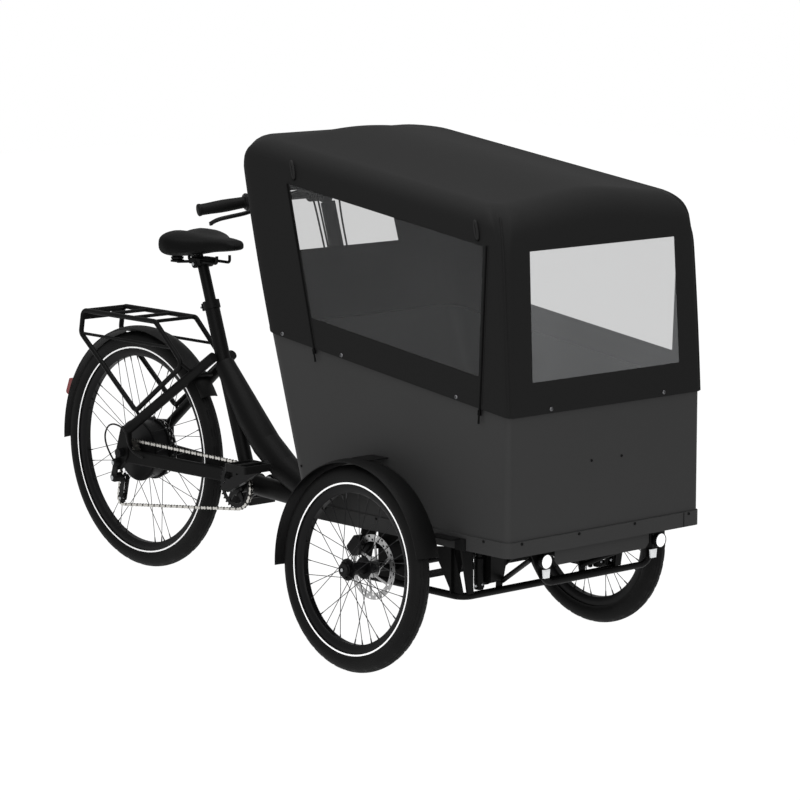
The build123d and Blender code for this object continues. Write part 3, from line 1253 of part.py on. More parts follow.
# Front mudguards with a top bracket to the box side and a stay to the base trim
FRONT_GUARD_BRACKET_WIDTH = 60.0
FRONT_GUARD_STAY_AHEAD = 250.0
FRONT_GUARD_STAY_LENGTH = 84.0
FRONT_GUARD_STAY_HEIGHT = 360.0
FRONT_GUARD_STAY_THICKNESS = 4.0
FRONT_GUARD_TAB_LENGTH = 34.0
FRONT_GUARD_TAB_HEIGHT = 30.0
front_guard_inner = front_tyre_radius + GUARD_TYRE_GAP
bracket_height = front_axle_height + (front_guard_inner + GUARD_THICKNESS / 2) * math.cos(camber)
guard_top_y = FRONT_TRACK / 2 - (front_guard_inner + GUARD_THICKNESS) * math.sin(camber)
for side, sign in SIDES:
    place = front_wheel_place(sign)
    if sign > 0:
        guard = arched_guard(front_guard_inner, FRONT_GUARD_WIDTH, -FRONT_GUARD_END, -FRONT_GUARD_START)
    else:
        guard = arched_guard(front_guard_inner, FRONT_GUARD_WIDTH, FRONT_GUARD_START, FRONT_GUARD_END)
    trim_face = BOX_HALF_WIDTH + TRIM_THICKNESS + GUARD_SEAT_GAP
    stay_out = guard_top_y - FRONT_GUARD_WIDTH / 2 + GUARD_CROWN
    stay_end = front_axle_x + FRONT_GUARD_STAY_AHEAD + FRONT_GUARD_STAY_LENGTH / 2
    with BuildPart() as mudguard:
        add(guard.moved(place.location))
        with Locations(
            (
                front_axle_x + FRONT_GUARD_STAY_AHEAD,
                sign * (trim_face + stay_out) / 2,
                FRONT_GUARD_STAY_HEIGHT,
            )
        ):
            Box(FRONT_GUARD_STAY_LENGTH, stay_out - trim_face, FRONT_GUARD_STAY_THICKNESS)
        with Locations(
            (
                stay_end,
                sign * (trim_face + FRONT_GUARD_STAY_THICKNESS / 2),
                FRONT_GUARD_STAY_HEIGHT + FRONT_GUARD_STAY_THICKNESS / 2,
            )
        ):
            Box(
                FRONT_GUARD_TAB_LENGTH,
                FRONT_GUARD_STAY_THICKNESS,
                FRONT_GUARD_TAB_HEIGHT,
                align=(Align.CENTER, Align.CENTER, Align.MAX),
            )
        with Locations((front_axle_x, sign * (BOX_HALF_WIDTH + 0.3 + guard_top_y) / 2, bracket_height)):
            Box(
                FRONT_GUARD_BRACKET_WIDTH,
                guard_top_y - BOX_HALF_WIDTH - 0.3,
                GUARD_THICKNESS,
            )
    save(mudguard.part, f"front_mudguard_{side}")

# Handlebar column on the back wall, stem, swept bar, grips and brake levers
STEM_DIAMETER = 32.0
COLUMN_BRACKET_WIDTH = 50.0
COLUMN_BRACKET_HEIGHT = 36.0
COLUMN_BRACKETS = (600.0, 730.0)
column_gap = COLUMN_WALL_GAP + COLUMN_DIAMETER / 2


def column_x(height):
    return rear_face_x(height) - column_gap


column = straight_rod(
    (column_x(COLUMN_BOTTOM), 0, COLUMN_BOTTOM), (column_x(column_top), 0, column_top), COLUMN_DIAMETER
)
with BuildPart() as handlebar_column:
    add(column)
    for height in COLUMN_BRACKETS:
        wall = lean_plane(rear_face_x(height) - 0.3, height, REAR_WALL_LEAN)
        with Locations(wall):
            Box(
                COLUMN_BRACKET_HEIGHT,
                COLUMN_BRACKET_WIDTH,
                column_gap,
                align=(Align.CENTER, Align.CENTER, Align.MAX),
            )
save(handlebar_column.part, "handlebar_column")

bar_x = column_x(column_top) - STEM_REACH
grip_corner = Vector(bar_x, BAR_STRAIGHT_HALF, BAR_HEIGHT)
grip_tip = Vector(bar_x - GRIP_END_BACK, GRIP_END_OUT, BAR_HEIGHT - GRIP_END_DROP)
grip_run = (grip_tip - grip_corner).normalized()
grip_root = grip_tip - grip_run * GRIP_LENGTH
BAR_BEND = 90.0


def on_side(point, sign):
    return (point.X, sign * point.Y, point.Z)


handlebar = bent_tube(
    [
        on_side(grip_root, -1),
        on_side(grip_corner, -1),
        on_side(grip_corner, 1),
        on_side(grip_root, 1),
    ],
    BAR_DIAMETER,
    BAR_BEND,
)
save(handlebar, "handlebar")

STEM_CLAMP_WIDTH = 44.0
STEM_CLAMP_RADIUS = 20.0
stem = straight_rod(
    (column_x(column_top) + SHAFT_CLEARANCE, 0, column_top + COLUMN_DIAMETER / 4),
    (bar_x + BAR_DIAMETER / 2, 0, BAR_HEIGHT),
    STEM_DIAMETER,
)
with BuildPart() as handlebar_stem:
    add(stem)
    with Locations(Location((bar_x, 0, BAR_HEIGHT), (90, 0, 0))):
        Cylinder(STEM_CLAMP_RADIUS, STEM_CLAMP_WIDTH)
        Cylinder(BAR_DIAMETER / 2 + 0.1, 2 * STEM_CLAMP_WIDTH, mode=Mode.SUBTRACT)
    add(column, mode=Mode.SUBTRACT)
save(handlebar_stem.part, "handlebar_stem")

grips = []
for side, sign in SIDES:
    grip = straight_rod(on_side(grip_root, sign), on_side(grip_tip, sign), GRIP_DIAMETER)
    with BuildPart() as grip_part:
        add(grip)
        fillet(grip_part.edges().sort_by(Axis.Y)[0 if sign < 0 else -1], 5.0)
    grips.append(grip_part.part)
save(joined(grips), "grips")

LEVER_CLAMP_WIDTH = 22.0
LEVER_CLAMP_RADIUS = 16.0
LEVER_DIAMETER = 10.0
LEVER_REACH = 48.0
LEVER_DROP = 30.0
LEVER_LENGTH = 95.0
lever_clamp_centre = grip_root - grip_run * (LEVER_CLAMP_WIDTH / 2 + 2)
levers = []
for side, sign in SIDES:
    clamp_end = lever_clamp_centre + grip_run * (LEVER_CLAMP_WIDTH / 2)
    clamp_start = lever_clamp_centre - grip_run * (LEVER_CLAMP_WIDTH / 2)
    clamp = straight_rod(on_side(clamp_start, sign), on_side(clamp_end, sign), 2 * LEVER_CLAMP_RADIUS)
    bore = straight_rod(
        on_side(clamp_start - grip_run * 5, sign), on_side(clamp_end + grip_run * 5, sign), BAR_DIAMETER + 0.4
    )
    root = lever_clamp_centre + Vector(LEVER_CLAMP_RADIUS * 0.8, 0, -LEVER_CLAMP_RADIUS * 0.5)
    knee = lever_clamp_centre + Vector(LEVER_REACH, 0, -LEVER_DROP) + grip_run * 12
    tip = knee + grip_run * LEVER_LENGTH + Vector(-8, 0, 0)
    blade = bent_tube([on_side(root, sign), on_side(knee, sign), on_side(tip, sign)], LEVER_DIAMETER, 14.0)
    with BuildPart() as lever:
        add(clamp)
        add(blade)
        add(bore, mode=Mode.SUBTRACT)
    levers.append(lever.part)
save(joined(levers), "brake_levers")

# Brake and shift cables from the levers, over the column and into the box's back wall
CABLE_WALL_ENTRY = 768.0
CABLE_WALL_GAP = 2.6
CABLE_COLUMN_LEAD = 8.0
CABLE_START_AHEAD = 18.5
CABLE_LOW_BEND_DROP = 290.0
CABLE_HIGH_BEND_DROP = 20.0
# Columns: sign of y, start inward of the clamp, start above it, loop height, distance from the column
CABLES = ((-1, 0.0, 9.0, 47.0, 32.0), (-1, 34.0, -3.0, 22.0, 45.0), (1, 0.0, 9.0, 40.0, 32.0))
control_cables = []
for sign, inward, start_rise, loop_rise, beside in CABLES:
    start = Vector(*on_side(lever_clamp_centre - grip_run * inward, sign))
    high_z = BAR_HEIGHT - CABLE_HIGH_BEND_DROP
    low_z = BAR_HEIGHT - CABLE_LOW_BEND_DROP
    points = [
        (start.X + CABLE_START_AHEAD, start.Y, start.Z + start_rise),
        (bar_x + 34.0, sign * 118.0, BAR_HEIGHT + 0.55 * loop_rise),
        (bar_x + 42.0, sign * (beside + 16.0), BAR_HEIGHT + loop_rise),
        (column_x(BAR_HEIGHT) + CABLE_COLUMN_LEAD, sign * beside, high_z),
        (column_x(low_z) + CABLE_COLUMN_LEAD, sign * beside, low_z),
        (rear_face_x(CABLE_WALL_ENTRY) - CABLE_WALL_GAP, sign * beside, CABLE_WALL_ENTRY),
    ]
    control_cables.append(bent_tube(points, CABLE_DIAMETER, CABLE_BEND))
save(joined(control_cables), "control_cables")
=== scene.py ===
import json
import math

import bmesh
import bpy
from mathutils import Matrix, Vector


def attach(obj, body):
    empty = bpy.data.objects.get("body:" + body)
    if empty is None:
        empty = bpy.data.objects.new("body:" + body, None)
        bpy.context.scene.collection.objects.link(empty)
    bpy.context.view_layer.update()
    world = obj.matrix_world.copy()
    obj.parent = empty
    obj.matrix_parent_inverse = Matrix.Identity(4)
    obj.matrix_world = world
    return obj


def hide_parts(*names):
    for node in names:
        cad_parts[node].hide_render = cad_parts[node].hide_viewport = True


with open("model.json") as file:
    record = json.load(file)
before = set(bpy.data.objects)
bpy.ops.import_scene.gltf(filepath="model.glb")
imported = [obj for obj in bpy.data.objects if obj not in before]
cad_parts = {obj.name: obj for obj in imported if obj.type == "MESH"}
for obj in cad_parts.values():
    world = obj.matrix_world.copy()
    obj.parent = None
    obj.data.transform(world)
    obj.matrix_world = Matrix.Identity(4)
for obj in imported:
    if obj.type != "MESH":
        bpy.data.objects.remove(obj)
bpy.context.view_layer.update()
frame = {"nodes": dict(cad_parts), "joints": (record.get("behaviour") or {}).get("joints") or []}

# Studio: a pale seamless floor under a large soft light, as for a catalogue picture.
# The camera stands ahead of the bike on its right, a little above the box, with a long lens.
CAMERA_PLACE = Vector((6.80225, -5.85, 1.963))
CAMERA_AIM = Vector((-0.7328, 0.6624, -0.1554))
CAMERA_LENS = 155.99
CAMERA_SENSOR = 36.0
CAMERA_REACH = 100.0
FLOOR_HALF = 12.0
FLOOR_WHITE = 1.06
FLOOR_SHADOW_SHARE = 0.05
ROOM_LIGHT = 0.55
WHITE = (1, 1, 1, 1)


def linear(code):
    """An sRGB hex colour as the linear RGBA that shaders use."""
    parts = [int(code[i : i + 2], 16) / 255 for i in (1, 3, 5)]
    return tuple(p / 12.92 if p <= 0.04045 else ((p + 0.055) / 1.055) ** 2.4 for p in parts) + (1.0,)


def node(tree, kind, inputs=None, **settings):
    """Adds a shader node. An input given as a node or a socket is linked, and any other is set."""
    made = tree.nodes.new(kind)
    for name, value in settings.items():
        setattr(made, name, value)
    for name, value in (inputs or {}).items():
        if isinstance(value, bpy.types.Node):
            value = value.outputs[0]
        if isinstance(value, bpy.types.NodeSocket):
            tree.links.new(value, made.inputs[name])
        else:
            made.inputs[name].default_value = value
    return made


def empty_material(name):
    material = bpy.data.materials.new(name)
    material.use_nodes = True
    material.node_tree.nodes.clear()
    return material, material.node_tree


def add(name, data):
    """Puts an object of the given data in the scene."""
    made = bpy.data.objects.new(name, data)
    bpy.context.scene.collection.objects.link(made)
    return made


camera_data = bpy.data.cameras.new("camera")
camera_data.lens = CAMERA_LENS
camera_data.sensor_width = CAMERA_SENSOR
camera_data.sensor_fit = "HORIZONTAL"
camera_data.clip_end = CAMERA_REACH
camera = add("camera", camera_data)
camera.location = CAMERA_PLACE
camera.rotation_euler = CAMERA_AIM.to_track_quat("-Z", "Y").to_euler()
bpy.context.scene.camera = camera
bpy.context.scene.view_settings.view_transform = "Standard"

# The paper floor is white to the eye and still takes a faint shadow round the tyres
floor_material, tree = empty_material("matte_white_paper")
paint = node(tree, "ShaderNodeBsdfDiffuse", {"Color": linear("#f4f4f4")})
white = node(tree, "ShaderNodeEmission", {"Color": WHITE, "Strength": FLOOR_WHITE})
rays = node(tree, "ShaderNodeLightPath").outputs
seen = {0: rays["Is Camera Ray"], 1: rays["Is Glossy Ray"]}
seen = {0: node(tree, "ShaderNodeMath", seen, operation="MAXIMUM"), 1: rays["Is Transmission Ray"]}
seen = {0: node(tree, "ShaderNodeMath", seen, operation="MAXIMUM"), 1: 1 - FLOOR_SHADOW_SHARE}
share = node(tree, "ShaderNodeMath", seen, operation="MULTIPLY")
mix = node(tree, "ShaderNodeMixShader", {0: share, 1: paint, 2: white})
node(tree, "ShaderNodeOutputMaterial", {"Surface": mix})
floor_mesh = bpy.data.meshes.new("floor")
floor_corners = [(x * FLOOR_HALF, y * FLOOR_HALF, 0) for x, y in ((-1, -1), (1, -1), (1, 1), (-1, 1))]
floor_mesh.from_pydata(floor_corners, [], [(0, 1, 2, 3)])
floor_mesh.materials.append(floor_material)
add("floor", floor_mesh)

# The room is a white tent: even light from all round, and plain white wherever it is seen
world = bpy.data.worlds.new("white_tent")
world.use_nodes = True
tree = world.node_tree
tree.nodes.clear()
rays = node(tree, "ShaderNodeLightPath").outputs
seen = {0: rays["Is Camera Ray"], 1: rays["Is Transmission Ray"]}
share = node(tree, "ShaderNodeMath", seen, operation="MAXIMUM")
room = node(tree, "ShaderNodeBackground", {"Color": WHITE, "Strength": ROOM_LIGHT})
white = node(tree, "ShaderNodeBackground", {"Color": WHITE, "Strength": 1.0})
mix = node(tree, "ShaderNodeMixShader", {0: share, 1: room, 2: white})
node(tree, "ShaderNodeOutputWorld", {"Surface": mix})
bpy.context.scene.world = world

# Soft boxes. Columns: name, place, aim, width, watts
SOFT_BOXES = (
    ("overhead", (0.6, -0.4, 4.2), (0.1, 0.0, 0.6), 3.6, 150.0),
    ("front_right", (4.5, -4.5, 2.6), (0.2, 0.0, 0.6), 3.0, 120.0),
)
for name, place, aim, width, watts in SOFT_BOXES:
    light = bpy.data.lights.new(name, "AREA")
    light.size = width
    light.energy = watts
    lamp = add(name, light)
    lamp.location = place
    lamp.rotation_euler = (Vector(aim) - Vector(place)).to_track_quat("-Z", "Y").to_euler()

# Tyres: black rubber moulded on a cloth casing, 50 mm across, with a low block tread.
# A band of white reflective tape is bonded into each sidewall just above the rim.
TYRE_RADIUS = 0.025
TAPE_WIDTH = 0.006
TAPE_ANGLE = 139.5
BEAD_ANGLE = 149.0
TREAD_GROOVE_DEPTH = 0.0013
TREAD_STEPS = 240
TREAD_BLOCK_STEPS = 6
TREAD_SKEW_STEPS = 2
TREAD_GROOVE_ANGLES = (12.0, 30.0)
TREAD_GROOVE_HALF = 2.5
TREAD_SHOULDER_ANGLE = 44.0
TREAD_EDGE_ANGLE = 54.0
SIDEWALL_ANGLES = (62.0, 76.0, 90.0, 105.0, 120.0)
RUBBER_GRAIN = 0.0012


def surface(name, colour, roughness, *grains, metallic=0.0, specular=0.5, glow=None, patches=None, bands="X"):
    """Makes a material whose patterns are fixed to the piece.

    Columns of a grain: texture, scale per metre, detail, bump strength, bump depth.
    Of glow: colour, strength. Of patches in the roughness: scale per metre, detail, lowest, highest.
    """
    material, tree = empty_material(name)
    inputs = {"Base Color": linear(colour), "Roughness": roughness, "Metallic": metallic}
    inputs["Specular IOR Level"] = specular
    if glow:
        inputs["Emission Color"] = linear(glow[0])
        inputs["Emission Strength"] = glow[1]
    spot = node(tree, "ShaderNodeTexCoord").outputs["Object"]
    for kind, scale, detail, strength, depth in grains:
        settings = {"bands_direction": bands} if kind == "Wave" else {}
        pattern = {"Vector": spot, "Scale": scale, "Detail": detail}
        texture = node(tree, f"ShaderNodeTex{kind}", pattern, **settings).outputs
        bump = {"Height": texture["Distance" if kind == "Voronoi" else "Fac"]}
        bump.update({"Strength": strength, "Distance": depth})
        if "Normal" in inputs:
            bump["Normal"] = inputs["Normal"]
        inputs["Normal"] = node(tree, "ShaderNodeBump", bump)
    if patches:
        scale, detail, low, high = patches
        cloud = node(tree, "ShaderNodeTexNoise", {"Vector": spot, "Scale": scale, "Detail": detail})
        spread = {"Value": cloud, "To Min": low, "To Max": high}
        inputs["Roughness"] = node(tree, "ShaderNodeMapRange", spread)
    shader = node(tree, "ShaderNodeBsdfPrincipled", inputs)
    node(tree, "ShaderNodeOutputMaterial", {"Surface": shader})
    return material


def piece(name, bm, materials, body, slot, *replaced, sharp=35.0):
    """Makes a smooth-shaded object of a finished bmesh and hangs it on its body."""
    mesh = bpy.data.meshes.new(name)
    bm.to_mesh(mesh)
    bm.free()
    mesh.shade_smooth()
    mesh.set_sharp_from_angle(angle=math.radians(sharp))
    for material in materials:
        mesh.materials.append(material)
    made = add(name, mesh)
    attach(made, body)
    if replaced:
        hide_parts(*replaced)
    return made


def polar(radius, turn, *height):
    return Vector((radius * math.cos(turn), radius * math.sin(turn), *height))


def skin(bm, low, high, material=0):
    """Joins two rings of points by a band of faces."""
    for step in range(len(low)):
        after = (step + 1) % len(low)
        bm.faces.new((low[step], low[after], high[after], high[step])).material_index = material


def turned(bm, profile, place, steps, dent=None, closed=False):
    """Turns a profile round z. Rows are radius, height and, if not 0, the material of the strip that follows.

    A dent gives how far the surface is sunk at a row and a step.
    """
    rings = []
    for row, (radius, height, *_) in enumerate(profile):
        ring = []
        for step in range(steps):
            sunk = radius - dent(row, step) if dent else radius
            ring.append(bm.verts.new(place @ polar(sunk, 2 * math.pi * step / steps, height)))
        rings.append(ring)
    if closed:
        rings.append(rings[0])
    for low, high, (_, _, *material) in zip(rings, rings[1:], profile):
        skin(bm, low, high, *material)


joints = {joint["name"]: joint for joint in frame["joints"]}


def on_axle(body, outward):
    """Where a wheel made flat round z goes, with z along its axle towards the outside."""
    joint = joints[f"{body}_spin"]
    axle = Vector(joint["axis"]).normalized() * outward
    ahead = Vector((1, 0, 0))
    turn = Matrix((ahead, axle.cross(ahead), axle)).transposed().to_4x4()
    return Matrix.Translation(joint["pos_m"]) @ turn


# Moulded rubber: deep grey-black with a dry sheen, and a faint grain from the mould
rubber_grain = ("Noise", 1 / RUBBER_GRAIN, 3, 0.25, 0.0004)
rubber_wear = (14.0, 4, 0.54, 0.70)
rubber = surface("moulded_tyre_rubber", "#0b0b0b", 0.62, rubber_grain, specular=0.12, patches=rubber_wear)

# Glass-bead reflective tape: plain white, with a painted glow from its emission that stands in for the light
# its beads send back
beads = ("Voronoi", 900.0, 0, 0.15, 0.0002)
tape = surface("glass_bead_tape_painted_glow", "#f2f2f2", 0.45, beads, glow=("#f2f2f2", 0.25))

tape_half_turn = math.degrees(TAPE_WIDTH / TYRE_RADIUS) / 2
half_section = [0.0]
for angle in TREAD_GROOVE_ANGLES:
    half_section += [angle - TREAD_GROOVE_HALF, angle, angle + TREAD_GROOVE_HALF]
half_section += [TREAD_SHOULDER_ANGLE, TREAD_EDGE_ANGLE, *SIDEWALL_ANGLES]
half_section += [TAPE_ANGLE - tape_half_turn, TAPE_ANGLE + tape_half_turn, BEAD_ANGLE]
section = [-angle for angle in reversed(half_section[1:])] + half_section


def tread_dent(row, step):
    angle = abs(section[row])
    if angle in TREAD_GROOVE_ANGLES:
        return TREAD_GROOVE_DEPTH
    skew = step + (TREAD_SKEW_STEPS if section[row] > 0 else 0)
    between = TREAD_GROOVE_ANGLES[0] < angle < TREAD_EDGE_ANGLE
    return TREAD_GROOVE_DEPTH if between and skew % TREAD_BLOCK_STEPS == 0 else 0.0


# Columns: body, sign that turns the axle outwards, bead radius, tape on both sides
WHEELS = (
    ("front_wheel_right", -1, 0.203, False),
    ("front_wheel_left", 1, 0.203, False),
    ("rear_wheel", -1, 0.2795, True),
)
for body, outward, bead, both_sides in WHEELS:
    profile = []
    for angle, after in zip(section, section[1:] + section[-1:]):
        on_tape = abs(abs((angle + after) / 2) - TAPE_ANGLE) < tape_half_turn
        on_tape = on_tape and (both_sides or angle > 0)
        radius = bead + TYRE_RADIUS + TYRE_RADIUS * math.cos(math.radians(angle))
        widest = abs(angle) if abs(angle) >= BEAD_ANGLE else min(abs(angle), TAPE_ANGLE - tape_half_turn)
        level = TYRE_RADIUS * math.sin(math.radians(widest))
        profile.append((radius, math.copysign(level, angle), 1 if on_tape else 0))
    bm = bmesh.new()
    turned(bm, profile, on_axle(body, outward), TREAD_STEPS, tread_dent)
    tyre_node = body.replace("wheel", "tyre")
    piece(f"{tyre_node}_tread", bm, [rubber, tape], body, "tyre_rubber", tyre_node, sharp=50)

# Rims, spokes and hubs: black anodised rims with stainless spokes laced three-cross,
# each spoke hooked in a hub flange and pulled tight by a brass nipple in the rim.
SPOKE_COUNT = 32
SPOKE_RADIUS = 0.001
SPOKE_HEAD_OFFSET = 0.002
NIPPLE_RADIUS = 0.0021
NIPPLE_NECK = SPOKE_RADIUS * 1.4
NIPPLE_LENGTH = 0.013
NIPPLE_SUNK = 0.001
NIPPLE_OFFSET = 0.0032
RIM_DEPTH = 0.018
RIM_HALF = 0.0142
RIM_CROWN_HALF = 0.008
RIM_STEPS = 120
ANODISE_GRAIN = 0.0006
# Columns: flange radius, flange offset, angle that a spoke leads by
FRONT_LACING = (0.027, 0.026, 42.0)
REAR_LACING = (0.086, 0.025, 16.0)

# Black anodised aluminium: satin grey-black, with a fine etched grain and cloudy gloss
etching = ("Noise", 1 / ANODISE_GRAIN, 2, 0.12, 0.0002)
etch_wear = (22.0, 3, 0.34, 0.5)
anodised = surface("black_anodised_aluminium", "#0b0b0c", 0.42, etching, specular=0.12, patches=etch_wear)

# Black oxide on drawn stainless wire: dark grey with a thin bright line along it
spoke_wire = surface("black_oxide_spoke_wire", "#1a1a1b", 0.35, metallic=0.6, patches=(300.0, 2, 0.28, 0.42))


def ring_across(bm, centre, radius, along, across, sides):
    """Adds a ring of points square to a direction."""
    other = along.cross(across)
    turns = [2 * math.pi * side / sides for side in range(sides)]
    return [bm.verts.new(centre + radius * (math.cos(t) * across + math.sin(t) * other)) for t in turns]


def cap_ends(bm, first, last, material):
    for cap in (first[::-1], last):
        bm.faces.new(cap).material_index = material


def rod(bm, start, end, radius, sides=6, tip_radius=None, material=0):
    """Adds a closed straight rod, tapered where a tip radius is given."""
    start, end = Vector(start), Vector(end)
    along = (end - start).normalized()
    across = along.orthogonal().normalized()
    first = ring_across(bm, start, radius, along, across, sides)
    last = ring_across(bm, end, radius if tip_radius is None else tip_radius, along, across, sides)
    skin(bm, first, last, material)
    cap_ends(bm, first, last, material)


for body, outward, bead, _ in WHEELS:
    flange, offset, lead = REAR_LACING if body == "rear_wheel" else FRONT_LACING
    place = on_axle(body, outward)
    floor_radius = bead - RIM_DEPTH
    # Columns: radius, height along the axle
    profile = [
        (bead + 0.004, RIM_HALF),
        (bead - 0.004, RIM_HALF),
        (bead - 0.010, RIM_HALF - 0.0012),
        (floor_radius + 0.002, RIM_CROWN_HALF + 0.0015),
        (floor_radius, RIM_CROWN_HALF - 0.001),
        (floor_radius, 1e-4 - RIM_CROWN_HALF),
        (floor_radius + 0.002, -RIM_CROWN_HALF - 0.0015),
        (bead - 0.010, 0.0012 - RIM_HALF),
        (bead - 0.004, -RIM_HALF),
        (bead + 0.004, -RIM_HALF),
        (bead + 0.002, 0.0022 - RIM_HALF),
        (bead - 0.006, 0.006 - RIM_HALF),
        (bead - 0.006, RIM_HALF - 0.006),
        (bead + 0.002, RIM_HALF - 0.0022),
    ]
    bm = bmesh.new()
    turned(bm, profile, place, RIM_STEPS, closed=True)
    for index in range(SPOKE_COUNT):
        side = 1 if index % 2 else -1
        turn = 1 if index % 4 < 2 else -1
        centre = 360 / SPOKE_COUNT * index
        at_hub = math.radians(centre - turn * lead / 2)
        at_rim = math.radians(centre + turn * lead / 2)
        hub_end = place @ polar(flange, at_hub, side * offset + turn * SPOKE_HEAD_OFFSET)
        rim_end = place @ polar(floor_radius, at_rim, side * NIPPLE_OFFSET)
        back = (hub_end - rim_end).normalized()
        neck = rim_end + back * NIPPLE_LENGTH
        rod(bm, hub_end, neck, SPOKE_RADIUS, 5, material=1)
        rod(bm, neck, rim_end - back * NIPPLE_SUNK, NIPPLE_NECK, 6, NIPPLE_RADIUS, 1)
    rim_node = body.replace("wheel", "rim")
    piece(f"{rim_node}_laced", bm, [anodised, spoke_wire], body, "black_alloy", rim_node)


def dress(material, slot, *names):
    """Gives CAD nodes a finish."""
    for name in names:
        shown = frame["nodes"][name]
        shown.data.materials.clear()
        shown.data.materials.append(material)


dress(anodised, "black_alloy", "front_hub_right", "front_hub_left", "rear_hub_motor")

# Hub caps: each front axle ends in a black cap with one plated bolt, and the motor's cover in a broad one.
# Eight small screws round each cap hold the hub's cover on.
HUB_SCREWS = 8
HUB_SCREW_RADIUS = 0.0032
HUB_SCREW_HEIGHT = 0.003
AXLE_BOLT_RADIUS = 0.0048
AXLE_BOLT_HEIGHT = 0.0045
CAP_SINK = 0.003
CAP_CENTRE = 0.001
CAP_STEPS = 40
# Columns: share of the cap's radius, height over the hub's end
CAP_PROFILE = ((1.0, -0.002), (1.0, 0.003), (0.86, 0.005), (0.45, 0.005), (0.4, CAP_SINK))
# Columns: body, sign outwards, height of the hub's end, cap radius, screw circle radius, screw height
HUB_CAPS = (
    ("front_wheel_right", -1, 0.038, 0.0165, 0.020, 0.030),
    ("front_wheel_left", 1, 0.038, 0.0165, 0.020, 0.030),
    ("rear_wheel", 1, 0.0275, 0.060, 0.074, 0.0275),
)

# Zinc-plated steel for bolt heads and caps: pale grey metal with a cloudy grain
zinc = surface("zinc_plated_steel", "#a9abad", 0.34, metallic=1.0, patches=(180.0, 2, 0.26, 0.46))

for body, outward, end, cap, screw_circle, screw_foot in HUB_CAPS:
    place = on_axle(body, outward)
    sink = end + CAP_SINK
    bm = bmesh.new()
    profile = [(cap * share, end + height) for share, height in CAP_PROFILE]
    turned(bm, profile + [(CAP_CENTRE, sink)], place, CAP_STEPS)
    bolt_tip = place @ Vector((0, 0, sink + AXLE_BOLT_HEIGHT))
    rod(bm, place @ Vector((0, 0, sink)), bolt_tip, AXLE_BOLT_RADIUS, material=1)
    for index in range(HUB_SCREWS):
        foot = polar(screw_circle, 2 * math.pi * index / HUB_SCREWS, screw_foot)
        rod(bm, place @ foot, place @ (foot + Vector((0, 0, HUB_SCREW_HEIGHT))), HUB_SCREW_RADIUS)
    piece(f"{body}_hub_cap", bm, [anodised, zinc], body, "axle_steel")

# Brake discs: stamped stainless rings drilled in two rows, on slanted arms bolted to the hubs.
# Grinding leaves fine circular marks, and the pads polish the track.
DISC_OUTER = 0.080
DISC_INNER = 0.063
DISC_HALF = 0.001
DISC_SECTORS = 40
DISC_ROWS = 2
DISC_HOLE_SHARE = 0.62
DISC_ARMS = 6
DISC_ARM_HALF = 0.0032
DISC_ARM_SLANT = 28.0
DISC_ARM_START = 0.0234
DISC_ARM_END = 0.06426
SPIDER_OUTER = 0.026
SPIDER_INNER = 0.014
SPIDER_HALF = 0.0014
SPIDER_STEPS = 48
FRONT_DISC_HEIGHT = -0.056
REAR_DISC_HEIGHT = -0.049

# Ground stainless steel: bright grey metal, duller and shinier by patches from the pads
ground_steel = surface("ground_stainless_disc", "#b4b4b4", 0.33, metallic=1.0, patches=(240.0, 3, 0.24, 0.42))


def plate(bm, outline, low, high, place, material=0):
    """Adds a flat plate: an outline in x and y, from a low to a high z, put in place."""
    first, last = [[bm.verts.new(place @ Vector((x, y, z))) for x, y in outline] for z in (low, high)]
    cap_ends(bm, first, last, material)
    skin(bm, first, last, material)


def ring_plate(bm, outer, inner, low, high, place, material=0):
    """Adds a flat ring between two outlines with as many points."""
    loops = []
    for line, z in ((outer, low), (outer, high), (inner, high), (inner, low)):
        loops.append([bm.verts.new(place @ Vector((x, y, z))) for x, y in line])
    for first, second in zip(loops, loops[1:] + loops[:1]):
        skin(bm, first, second, material)


def circle(radius, count):
    return [polar(radius, 2 * math.pi * step / count) for step in range(count)]


sector = 2 * math.pi / DISC_SECTORS
row_depth = (DISC_OUTER - DISC_INNER) / DISC_ROWS
for body, outward, _, _ in WHEELS:
    height = REAR_DISC_HEIGHT if body == "rear_wheel" else FRONT_DISC_HEIGHT
    place = on_axle(body, outward) @ Matrix.Translation((0, 0, height))
    bm = bmesh.new()
    for index in range(DISC_SECTORS):
        for row in range(DISC_ROWS):
            near, far = DISC_INNER + row * row_depth, DISC_INNER + (row + 1) * row_depth
            around = ((near, index), (near, index + 1), (far, index + 1), (far, index))
            corners = [polar(radius, sector * step) for radius, step in around]
            if (index + row) % 2:
                plate(bm, corners, -DISC_HALF, DISC_HALF, place)
            else:
                middle = sum(corners, Vector((0, 0))) / len(corners)
                hole = [middle + (corner - middle) * DISC_HOLE_SHARE for corner in corners]
                ring_plate(bm, corners, hole, -DISC_HALF, DISC_HALF, place)
    for arm in range(DISC_ARMS):
        foot = 2 * math.pi * arm / DISC_ARMS
        start = polar(DISC_ARM_START, foot)
        end = polar(DISC_ARM_END, foot + math.radians(DISC_ARM_SLANT))
        side = Vector((start.y - end.y, end.x - start.x)).normalized() * DISC_ARM_HALF
        plate(bm, [start - side, end - side, end + side, start + side], -DISC_HALF, DISC_HALF, place)
    spider = circle(SPIDER_OUTER, SPIDER_STEPS), circle(SPIDER_INNER, SPIDER_STEPS)
    ring_plate(bm, *spider, -SPIDER_HALF, SPIDER_HALF, place)
    disc_node = body.replace("wheel", "disc")
    piece(f"{disc_node}_drilled", bm, [ground_steel], body, "disc_steel", disc_node)

# Frame, rack and under-box steel: welded tube, blasted and powder coated a matte black
# all in one go, so every joint is covered by the same even skin.
COAT_GRAIN = 0.0016

